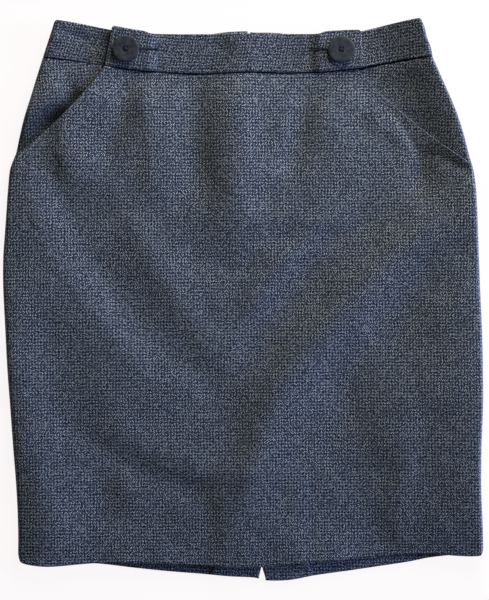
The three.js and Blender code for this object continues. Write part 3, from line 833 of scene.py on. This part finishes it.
def front_panel():
    """The front, one piece from hem to waist with a pocket mouth cut from each upper corner."""
    corner = 0.78  # part of the rows that lies below the pocket mouths

    def side(edge, hem_y, mouth):
        opening = pocket_mouth(mouth)

        def points(t):
            t = np.asarray(t, float)
            y = mix(hem_y, mouth["end"][1], np.minimum(t / corner, 1))
            mouth_x, mouth_y = opening(np.clip((t - corner) / (1 - corner), 0, 1))
            return np.where(t > corner, mouth_x, edge(y)), np.where(t > corner, mouth_y, y)

        return points

    plan = patch(
        side(side_left, FRONT_HEM["y"][0], MOUTH_LEFT),
        side(side_right, FRONT_HEM["y"][-1], MOUTH_RIGHT),
        front_hem,
        lambda x: waist_seam(x) - SEAM,
    )
    low = steps(118, 420, (1, 0)) * corner
    high = corner + (1 - corner) * steps(44, 130, (0, 1))[1:]
    return plan, shell(
        "front_shell", plan, steps(140, 480, (1, 1)), np.concatenate([low, high]), front_under,
        lambda x, y: front_under(x, y) + front_wall(x, y), (1.0, 1.0, 1.4, 1.3), straight_grain(0.4),
        (HEM_CORNER, HEM_CORNER, 0, 0),
    )


def back_panel(name, direction):
    """One half of the back, from its side edge to the centre seam, parted at the slit."""
    outer = side_left if direction < 0 else side_right
    end = 0 if direction < 0 else -1
    centre_x = CENTRE_HEM[0] + direction * (SEAM / 2 + SLIT_SPREAD)

    def side(t):
        y = mix(BACK_HEM["y"][end], WAIST_SEAM["y"][end] - SEAM, np.asarray(t, float))
        return outer(y) - direction * 0.6, y

    def centre(t):
        y = mix(back_hem(centre_x), waist_seam(CENTRE_WAIST[0]) - SEAM, np.asarray(t, float))
        opening = SLIT_SPREAD * (1 - ramp(0, SLIT_MOUTH, y - back_hem(centre_x)))
        return centre_back(y) + direction * (SEAM / 2 + opening), y

    sides = (side, centre) if direction < 0 else (centre, side)
    plan = patch(*sides, back_hem, lambda x: waist_seam(x) - SEAM)
    low = 0.12  # part of the rows that lies within the slit's mouth and the turned-up hem
    rows = np.concatenate([steps(30, 540, (1, 0)) * low, low + (1 - low) * steps(70, 480, (0, 1))[1:]])
    return plan, shell(
        name, plan, steps(50, 250, (1, 1)), rows, lambda x, y: 0 * x, back_face,
        (0.9, 0.9, 1.4, 0.9), straight_grain(direction * 1.2, (37.0, 11.0)),
    )


def slit_facing(name, direction):
    """The slit's folded-back edge, a strip that lies inside the back beside the centre line."""
    spread = SLIT_SPREAD + 0.4
    hem_x = CENTRE_HEM[0] + direction * (SEAM / 2 + spread)

    def column(offset):
        foot = back_hem(hem_x + direction * offset) + 1

        def points(t):
            y = mix(foot, foot + FACING_LENGTH, np.asarray(t, float))
            opening = spread * (1 - ramp(0, SLIT_MOUTH, y - foot))
            return centre_back(y) + direction * (SEAM / 2 + opening + offset), y

        return points

    sides = (column(FACING_WIDTH), column(0)) if direction < 0 else (column(0), column(FACING_WIDTH))
    plan = patch(*sides, lambda x: back_hem(x) + 1, lambda x: 0 * x)
    under = lambda x, y: back_face(x, y, 2.0) + LAYER
    return plan, shell(
        name, plan, steps(14, 48, (1, 1)), steps(46, 120, (1, 1)), under, lambda x, y: under(x, y) + CLOTH,
        (0.8, 0.8, 0.9, 0.8), straight_grain(direction * 1.2, (91.0, 5.0)),
    )


def pocket_shade(x, y):
    """Painted shadow on the left hip piece behind its mouth's raised edge: how dark it is painted, a soft
    bell along the lower half.
    """
    outside = np.maximum(-inside_mouth(MOUTH_LEFT, x, y), 0)
    up = (y - POCKET_SHADE_MIDDLE) / POCKET_SHADE_LENGTH
    return POCKET_SHADE * np.exp(-((outside / POCKET_SHADE_WIDTH) ** 2) - up**2)


def tab_shade(x, y):
    """Painted shadow of the left tab's edge on the side band: how dark the band is painted beside it."""
    edge = mix(TAB_LEFT["seam"], TAB_LEFT["top"], (y - TAB_FOOT) / TAB_HEIGHT)
    return TAB_SHADE * np.exp(-(((x - edge) / TAB_SHADE_WIDTH) ** 2))


def far_shade(x, y):
    """Painted shade where the cloth falls away towards the right hip and gets less light: how dark it is
    painted.
    """
    return FAR_SHADE * ramp(FAR_SHADE_FROM, FAR_SHADE_TO, x)


def hip_piece(name, direction):
    """A hip piece fills the corner that the mouth leaves, and runs on beneath the front."""
    outer = side_left if direction < 0 else side_right
    mouth = MOUTH_LEFT if direction < 0 else MOUTH_RIGHT
    end = 0 if direction < 0 else -1
    run_x = abs(mouth["waist"] - mouth["end"][0])
    run_y = waist_seam(mouth["waist"]) - SEAM - mouth["end"][1]
    shift = HIP_UNDERLAP * math.hypot(run_x, run_y) / run_y
    waist_y = waist_seam(mouth["waist"])

    def inner_x(y):
        return mouth["waist"] - direction * (shift - run_x / run_y * (waist_y - y))

    def side(t):
        y = mix(HIP_BOTTOM, WAIST_SEAM["y"][end] - SEAM, np.asarray(t, float))
        return outer(y) - direction * 0.2, y

    def inner(t):
        y = mix(HIP_BOTTOM, waist_seam(inner_x(waist_y)) - SEAM, np.asarray(t, float))
        return inner_x(y), y

    sides = (side, inner) if direction < 0 else (inner, side)
    plan = patch(*sides, lambda x: 0 * x + HIP_BOTTOM, lambda x: waist_seam(x) - SEAM)
    under = lambda x, y: hip_under(mouth, x, y)
    return plan, shell(
        name, plan, steps(48, 100, (1, 1)), steps(56, 135, (0, 1)), under, lambda x, y: under(x, y) + CLOTH,
        (0.9, 0.9, 0.0, 1.3), straight_grain(direction * -3.0, (17.0, 53.0)),
        # painted shade: the left piece's shadow behind its mouth, the right piece's shade towards the hip
        shade=pocket_shade if direction < 0 else far_shade,
    )


def band_stretch(name, left, right, top, level, count, rounds, shift, corners, shade=None):
    """A stretch of waistband between two ends. The back one lies flat, and those on it are creased."""
    plan = patch(left, right, lambda x: waist_seam(x) + SEAM / 2, top)

    def lift(x, y):
        height = level(x)
        return height + np.where(height > 0, band_folds(x, y), 0)

    return plan, shell(
        name, plan, steps(count, 2.6 * count, (1, 1)), steps(16, 41, (1, 1)), lift,
        lambda x, y: lift(x, y) + BAND, rounds, band_grain(shift), corners, shade,
    )


def band_side(edge, direction, top):
    """The side end of a waistband, from the seam to the top edge."""
    end = 0 if direction < 0 else -1
    low = waist_seam(WAIST_SEAM["x"][end]) + SEAM / 2
    high = top(BACK_BAND_TOP["x"][end])

    def points(t):
        y = mix(low, high, np.asarray(t, float))
        return edge(y) - direction * 0.2, y

    return points


def band_end(seam_x, top_x, top):
    """A straight end of a waistband."""
    low, high = waist_seam(seam_x) + SEAM / 2, top(top_x)
    return lambda t: (mix(seam_x, top_x, np.asarray(t, float)), mix(low, high, np.asarray(t, float)))


def front_band_level(x):
    left = 1 - ramp(TAB_LEFT["step"], TAB_LEFT["foot"], x)
    right = ramp(TAB_RIGHT["foot"], TAB_RIGHT["step"], x)
    return mix(FRONT_LEVEL, TAB_LEVEL, left + right)


def level_at(height):
    return lambda x: height + 0 * x


def band_face(x, y):
    """Height of the front waistband's face."""
    return front_band_level(x) + band_folds(x, y) + BAND


def button_level(place):
    """Height of a button's back, just clear of the waistband."""
    x, y = np.array(place)[:, None]
    return float(band_face(x, y)[0]) + LAYER


def centre_end(direction):
    seam_x = centre_back(waist_seam(CENTRE_WAIST[0])) + direction * SEAM / 2
    return band_end(seam_x, CENTRE_WAIST[0] + direction * (SEAM / 2 + 1.2), back_band_top)


def carve(piece, cutter):
    """Cuts the cutter out of the piece for good, and deletes the cutter."""
    cut = piece.modifiers.new("cut", "BOOLEAN")
    cut.operation = "DIFFERENCE"
    cut.solver = "EXACT"
    cut.object = cutter
    shape = bpy.data.meshes.new_from_object(piece.evaluated_get(bpy.context.evaluated_depsgraph_get()))
    piece.modifiers.clear()
    piece.data = shape
    bpy.data.objects.remove(cutter)


def prism(name, outline, low, high):
    """A closed upright prism from a plan outline that runs anticlockwise."""
    count = len(outline)
    lower = np.column_stack([outline, np.full(count, low)])
    upper = np.column_stack([outline, np.full(count, high)])
    mesh = bpy.data.meshes.new(name)
    ring = list(range(count))
    sides = [(i, (i + 1) % count, (i + 1) % count + count, i + count) for i in ring]
    caps = [tuple(ring[::-1]), tuple(i + count for i in ring)]
    mesh.from_pydata((np.concatenate([lower, upper]) * MM).tolist(), [], sides + caps)
    return put_object(name, mesh)


def slot_outline(button, inward, half):
    """Outline of a slit with round ends from the button's middle inwards, anticlockwise."""
    turn = np.linspace(math.pi / 2, math.pi * 1.5, 9)
    near = np.column_stack([np.cos(turn), np.sin(turn)]) * half
    far = -near + [BUTTONHOLE_LENGTH, 0]
    return np.concatenate([near, far]) * inward + button


def grid_faces(rows, columns, closed_rows=False):
    """Faces of a surface grid that closes on itself across its columns, and along its rows if asked."""
    grid = np.arange(rows * columns).reshape(rows, columns)
    grid = np.concatenate([grid, grid[:, :1]], axis=1)
    if closed_rows:
        grid = np.concatenate([grid, grid[:1]], axis=0)
    corners = [grid[:-1, :-1], grid[:-1, 1:], grid[1:, 1:], grid[1:, :-1]]
    return np.stack(corners, axis=-1).reshape(-1, 4)


def tube(path, radius, sides=10, closed=False):
    """Points of a tube round a path: rings square to its run, with a radius for each point."""
    ahead = np.roll(path, -1, axis=0) - np.roll(path, 1, axis=0)
    if not closed:
        ahead[0], ahead[-1] = path[1] - path[0], path[-1] - path[-2]
    ahead = ahead / np.linalg.norm(ahead, axis=1, keepdims=True)
    guide = np.where(np.abs(ahead[:, 2:]) > 0.9, [[1.0, 0, 0]], [[0, 0, 1.0]])
    side = np.cross(guide, ahead)
    side = side / np.linalg.norm(side, axis=1, keepdims=True)
    up = np.cross(ahead, side)
    turn = np.linspace(0, 2 * math.pi, sides, endpoint=False)[None, :, None]
    radius = np.broadcast_to(radius, len(path))[:, None, None]
    ring = path[:, None] + radius * (np.cos(turn) * side[:, None] + np.sin(turn) * up[:, None])
    return ring.reshape(-1, 3)


def join_parts(name, parts):
    """One mesh from several (points, faces) parts."""
    points, faces, start = [], [], 0
    for part_points, part_faces in parts:
        points.append(part_points)
        faces.append(part_faces + start)
        start += len(part_points)
    return put_mesh(name, np.concatenate(points), np.concatenate(faces), sharp=60.0)


def buttonhole_stitches(name, button, inward):
    """The close stitching round a buttonhole: a cord along the slit's edge, pinched between its stitches."""
    outline = slot_outline(button, inward, BUTTONHOLE_WIDTH / 2 + 0.45)
    loop = np.concatenate([outline, outline[:1]])
    lengths = np.concatenate([[0], np.hypot(*np.diff(loop, axis=0).T).cumsum()])
    places = np.linspace(0, lengths[-1], 720, endpoint=False)
    x = np.interp(places, lengths, loop[:, 0])
    y = np.interp(places, lengths, loop[:, 1])
    z = band_face(x, y) + 0.12
    radius = 0.42 * (0.82 + 0.18 * np.abs(np.sin(places * math.pi / 0.75)))
    path = np.column_stack([x, y, z])
    return join_parts(name, [(tube(path, radius, 8, closed=True), grid_faces(len(path), 8, True))])


def button_disc(name, place):
    """A four-hole button: a profile carried round its axis, and four holes cut through."""
    level = button_level(place)
    count = 96
    turn = np.linspace(0, 2 * math.pi, count, endpoint=False)
    ring = BUTTON_PROFILE[1:-1]
    points = np.stack([
        ring[:, :1] * np.cos(turn), ring[:, :1] * np.sin(turn), np.repeat(ring[:, 1:], count, axis=1),
    ], axis=-1).reshape(-1, 3)
    ends = [(0, 0, BUTTON_PROFILE[0, 1]), (0, 0, BUTTON_PROFILE[-1, 1])]
    points = np.concatenate([points, ends]) + [*place, level]
    mesh = bpy.data.meshes.new(name)
    around = np.arange(count)
    last = (len(ring) - 1) * count
    faces = grid_faces(len(ring), count).tolist()
    faces += [(len(points) - 2, (i + 1) % count, i) for i in around.tolist()]
    faces += [(len(points) - 1, last + i, last + (i + 1) % count) for i in around.tolist()]
    mesh.from_pydata((points * MM).tolist(), [], faces)
    piece = put_object(name, mesh)
    circle = np.column_stack([np.cos(turn[::4]), np.sin(turn[::4])]) * HOLE_RADIUS
    for i in (-1, 1):
        for j in (-1, 1):
            centre = np.array(place) + np.array([i, j]) * HOLE_SPACING / 2
            carve(piece, prism("drill", circle + centre, level - 1, level + 5))
    piece.data.shade_smooth()
    piece.data.set_sharp_from_angle(angle=math.radians(40))
    return piece


def button_thread(name, place):
    """Sewing thread: two crossed bundles over the face between the holes, and a wound shank below."""
    parts = []
    level = button_level(place)
    face = level + 1.54
    reach = HOLE_SPACING / 2
    for i, (dx, dy) in enumerate([(1, 1), (1, -1)]):
        for offset in (-0.34, 0.0, 0.34):
            t = np.linspace(-1, 1, 25)
            lift = np.where(np.abs(t) < 0.8, 0.35 + 0.25 * i, 0.35 + 0.25 * i - 9.0 * (np.abs(t) - 0.8))
            x = place[0] + dx * t * reach - dy * offset * 0.7
            y = place[1] + dy * t * reach + dx * offset * 0.7
            path = np.column_stack([x, y, face + lift])
            parts.append((tube(path, 0.2, 8), grid_faces(len(path), 8)))
    height = np.linspace(level - 3.2, level + 0.2, 40)
    path = np.column_stack([np.full(40, place[0]), np.full(40, place[1]), height])
    winding = 0.36 + 0.05 * np.sin(np.linspace(0, 14 * math.pi, 40))
    parts.append((tube(path, winding, 10), grid_faces(40, 10)))
    return join_parts(name, parts)


def panel_face(x, y):
    """Height of the face of the front, or of the hip piece outside its mouth."""
    inside = inside_mouths(x, y)
    return np.where(inside > 0, front_under(x, y) + front_wall(x, y), hip_face(x, y))


def waist_painted_shade_strip():
    """Painted shade: a narrow near-black strip that fills the waist seam between the band and the panels, as
    a dark line.
    """
    low_x, high_x = WAIST_SEAM["x"][[0, -1]]

    def plan(s, t):
        x = mix(low_x + 1.0, high_x - 1.0, s)
        return x, waist_seam(x) - SEAM / 4 + mix(-SHADE_STRIP_HALF, SHADE_STRIP_HALF, t)

    def top(x, y):
        tabbed = (x > TAB_LEFT["seam"]) & (x < TAB_RIGHT["seam"])
        band = np.where(tabbed, front_band_level(x), FRONT_LEVEL)
        band = band + band_folds(x, waist_seam(x) + 1.5) + BAND
        above = (y - waist_seam(x) + SEAM / 4 + SHADE_STRIP_HALF) / (2 * SHADE_STRIP_HALF)
        return mix(panel_face(x, waist_seam(x) - 2.0), band, above) - SHADE_STRIP_DEPTH

    return shell(
        "waist_seam_ditch", plan, np.linspace(0, 1, 240), np.array([0.0, 1.0]), lambda x, y: 0.3 + 0 * x,
        top, (0, 0, 0, 0), straight_grain(),
    )


def mouth_painted_shade_strip(name, mouth, width):
    """Painted shade: a narrow near-black strip on the hip piece, half under the front's edge, that shows as a
    dark line along a pocket mouth."""
    opening = pocket_mouth(mouth)
    (low_x, low_y), (high_x, high_y) = opening(0.0), opening(1.0)
    length = math.hypot(high_x - low_x, high_y - low_y)
    out_x, out_y = np.array([low_y - high_y, high_x - low_x]) * mouth["inward"] / length
    reach = (-0.5, width) if mouth["inward"] > 0 else (width, -0.5)

    def plan(s, t):
        x, y = opening(mix(0.03, 0.99, s))
        return x + out_x * mix(*reach, t), y + out_y * mix(*reach, t)

    def top(x, y):
        return hip_under(mouth, x, y) + CLOTH + 0.15

    return shell(
        name, plan, np.linspace(0, 1, 120), np.array([0.0, 1.0]), lambda x, y: top(x, y) - 0.6, top,
        (0, 0, 0, 0), straight_grain(),
    )


# Cloth pieces, with the size each was cut to

def build_cloth():
    backs = ["back_left_shell", "back_right_shell"]
    paired = (
        ("back_panel_left", back_panel, "back_left_shell", -1, (0.262, 0.541), ["floor"]),
        ("back_panel_right", back_panel, "back_right_shell", 1, (0.236, 0.544), ["floor"]),
        ("slit_facing_left", slit_facing, "facing_left_shell", -1, (0.050, 0.122), backs[:1]),
        ("slit_facing_right", slit_facing, "facing_right_shell", 1, (0.052, 0.124), backs[1:]),
        ("hip_piece_left", hip_piece, "hip_left_shell", -1, (0.143, 0.136), backs[:1]),
        ("hip_piece_right", hip_piece, "hip_right_shell", 1, (0.176, 0.136), backs[1:]),
    )
    for node, build, name, direction, flat, rests_on in paired:
        plan, piece = build(name, direction)
        dress(piece, node, cloth_look, flat, plan_area(plan))
    plan, piece = front_panel()
    dress(piece, "front_panel", cloth_look, (0.500, 0.522), plan_area(plan))


def build_bands():
    lows = level_at(0.0)
    sides = level_at(FRONT_LEVEL)
    soft = 1.2
    stretches = [
        ("back_band_left", band_side(band_left, -1, back_band_top), centre_end(-1),
         back_band_top, lows, 70, (soft, 0.7, 1.2, soft), (5, 3), (0, 0, BAND_CORNER, 0), (0.216, 0.042)),
        ("back_band_right", centre_end(1), band_side(band_right, 1, back_band_top),
         back_band_top, lows, 66, (0.7, soft, 1.2, soft), (9, 1), (0, 0, 0, BAND_CORNER), (0.192, 0.042)),
        ("side_band_left", band_side(band_left, -1, side_band_top),
         band_end(TAB_LEFT["hidden"], TAB_LEFT["hidden"], side_band_top),
         side_band_top, sides, 36, (soft, 0.7, 1.2, soft), (13, 2), (0, 0, BAND_CORNER, 0), (0.108, 0.042)),
        ("side_band_right", band_end(TAB_RIGHT["hidden"], TAB_RIGHT["hidden"], side_band_top),
         band_side(band_right, 1, side_band_top),
         side_band_top, sides, 38, (0.7, soft, 1.2, soft), (21, 4), (0, 0, 0, BAND_CORNER), (0.114, 0.042)),
        ("front_band", band_end(TAB_LEFT["seam"], TAB_LEFT["top"], front_band_top),
         band_end(TAB_RIGHT["seam"], TAB_RIGHT["top"], front_band_top),
         front_band_top, front_band_level, 104, (soft, soft, 1.2, soft), (0, 0),
         (1.0, 1.0, TAB_CORNER, TAB_CORNER), (0.270, 0.043)),
    ]
    for node, left, right, top, level, count, rounds, shift, corners, flat in stretches:
        # Painted shade: the tab's shadow on the left side band and the shade towards the right hip
        shade = {"side_band_left": tab_shade, "side_band_right": far_shade}.get(node)
        plan, piece = band_stretch(
            f"{node}_shell", left, right, top, level, count, rounds, shift, corners, shade)
        if node == "front_band":
            for button, inward in ((BUTTON_LEFT, 1), (BUTTON_RIGHT, -1)):
                outline = slot_outline(button, inward, BUTTONHOLE_WIDTH / 2)
                carve(piece, prism("slit", outline, 0, SLIT_TOP))
        area = min(plan_area(plan), flat[0] * flat[1])
        dress(piece, node, band_look, flat, area)


def adopt(piece, look):
    """Gives a sewn-on piece its finish, slot and body."""
    piece.data.materials.clear()
    piece.data.materials.append(look)
    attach(piece, "root")
    return piece


def button_finish():
    """Semi-matt resin with fine grit and cloudy mottling."""
    look = Look("button_resin", Specular_IOR_Level=0.16)
    place = look.place()
    cloud = look.noise(place, 210.0, detail=5.0)
    grit = look.noise(place, 1400.0)
    colour = look.blend((cloud - 0.3) * 2.2, (0.012, 0.0135, 0.018, 1), (0.050, 0.051, 0.058, 1))
    roughness = grit * 0.2 + 0.46
    return look.finish(colour=colour, roughness=roughness, height=grit, depth=0.0001, strength=0.3)


def fibre_finish(name, scale, dark, light, **constants):
    """Fine fibre in two tones that stands up a little."""
    look = Look(name, **constants)
    fibre = look.noise(look.place(), scale)
    return look.finish(colour=look.blend(fibre, (*dark, 1), (*light, 1)), height=fibre, depth=0.0001)


def thread_finish(name, colour):
    darker = tuple(0.6 * c for c in colour)
    return fibre_finish(name, 2200.0, darker, colour, Roughness=0.8, Specular_IOR_Level=0.15)


def shade_finish():
    """Painted shade for the strips in a seam or along a pocket mouth: a nearly black nap, without gloss."""
    tones = (0.003, 0.004, 0.008), (0.012, 0.014, 0.024)
    return fibre_finish("seam_shade", 1100.0, *tones, Roughness=1.0, Specular_IOR_Level=0.0)


def zip_finish():
    """Woven tape with chain teeth across its middle."""
    look = Look("zip_tape", Roughness=0.75)
    y = look.node("ShaderNodeSeparateXYZ", None, (look.place(),), out=1)
    teeth = (y * (2 * math.pi / 0.0018)).math("SINE") * 0.5 + 0.5
    colour = look.blend(teeth, (0.012, 0.014, 0.018, 1), (0.03, 0.034, 0.042, 1))
    return look.finish(colour=colour, height=teeth, depth=0.0003)


def build_trims():
    resin = button_finish()
    sewing = thread_finish("sewing_thread", (0.030, 0.032, 0.038))
    stitching = thread_finish("buttonhole_thread", (0.007, 0.009, 0.016))
    shade = shade_finish()
    # Painted shade: near-black strips in the waist seam and along both pocket mouths
    adopt(waist_painted_shade_strip(), shade)
    adopt(mouth_painted_shade_strip("mouth_left_ditch", MOUTH_LEFT, 0.6), shade)
    adopt(mouth_painted_shade_strip("mouth_right_ditch", MOUTH_RIGHT, 0.6), shade)
    for side, place, inward in (("left", BUTTON_LEFT, 1), ("right", BUTTON_RIGHT, -1)):
        disc = adopt(button_disc(f"button_{side}_disc", place), resin)
        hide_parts(f"button_{side}")
        adopt(button_thread(f"button_{side}_thread", place), sewing)
        adopt(buttonhole_stitches(f"buttonhole_{side}_stitches", place, inward), stitching)
    zip_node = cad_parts["zip"]
    zip_node.data.materials.clear()
    zip_node.data.materials.append(zip_finish())


# Floor, light and camera

def build_stage():
    mesh = bpy.data.meshes.new("floor")
    reach = 6.0
    corners = [(-reach, -reach), (reach, -reach), (reach, reach), (-reach, reach)]
    mesh.from_pydata([(x, y, -0.0004) for x, y in corners], [], [(0, 1, 2, 3)])
    floor = put_object("floor", mesh)
    look = Look("floor_white", Roughness=0.9, Base_Color=(0.09, 0.088, 0.085, 1), Specular_IOR_Level=0.0,
                Emission_Color=(1.0, 0.965, 0.97, 1), Emission_Strength=0.93)
    mesh.materials.append(look.material)


def area_light(name, azimuth, elevation, distance, size, strength, colour):
    """A square soft light that faces the skirt. Azimuth 0 is from +X and 90 from +Y, in degrees. A white
    surface that squarely faces it at the skirt's middle is as bright as strength says."""
    light = bpy.data.lights.new(name, "AREA")
    light.shape = "SQUARE"
    light.size = size
    light.energy = strength * math.pi**2 * distance**2
    light.color = colour
    lamp = put_object(name, light)
    turn, lift = math.radians(azimuth), math.radians(elevation)
    lamp.location = (
        distance * math.cos(lift) * math.cos(turn),
        distance * math.cos(lift) * math.sin(turn),
        distance * math.sin(lift),
    )
    lamp.rotation_euler = (math.radians(90 - elevation), 0, turn + math.pi / 2)


def build_light():
    world = bpy.data.worlds.new("studio")
    bpy.context.scene.world = world
    world.use_nodes = True
    world.node_tree.nodes["Background"].inputs["Color"].default_value = (0.95, 1.0, 1.0, 1)
    world.node_tree.nodes["Background"].inputs["Strength"].default_value = 0.12
    area_light("main", 66, 18, 1.6, 0.8, 1.72, (0.955, 0.992, 0.89))
    area_light("sky", 3, 10.5, 4.5, 1.1, 2.30, (0.37, 0.53, 1.0))
    bpy.context.scene.view_settings.view_transform = "Standard"


PIXEL = 1.04  # millimetres of the skirt that one pixel of the picture shows
PICTURE_HEIGHT = 600
PICTURE_MIDDLE = (1.3, 0.2)
LENS = 120.0
SENSOR = 36.0
FOCUS_PLANE = 5.0  # height of the skirt's face, where a pixel has its size


def build_camera():
    """A long lens straight above the skirt, so far off that a pixel shows its length of cloth."""
    camera = bpy.data.cameras.new("camera")
    camera.lens = LENS
    camera.sensor_width = SENSOR
    camera.clip_end = 20
    eye = put_object("camera", camera)
    distance = PICTURE_HEIGHT * PIXEL * LENS / SENSOR + FOCUS_PLANE
    eye.location = (PICTURE_MIDDLE[0] * MM, PICTURE_MIDDLE[1] * MM, distance * MM)
    bpy.context.scene.camera = eye


build_camera()
build_cloth()
build_bands()
build_trims()
build_stage()
build_light()
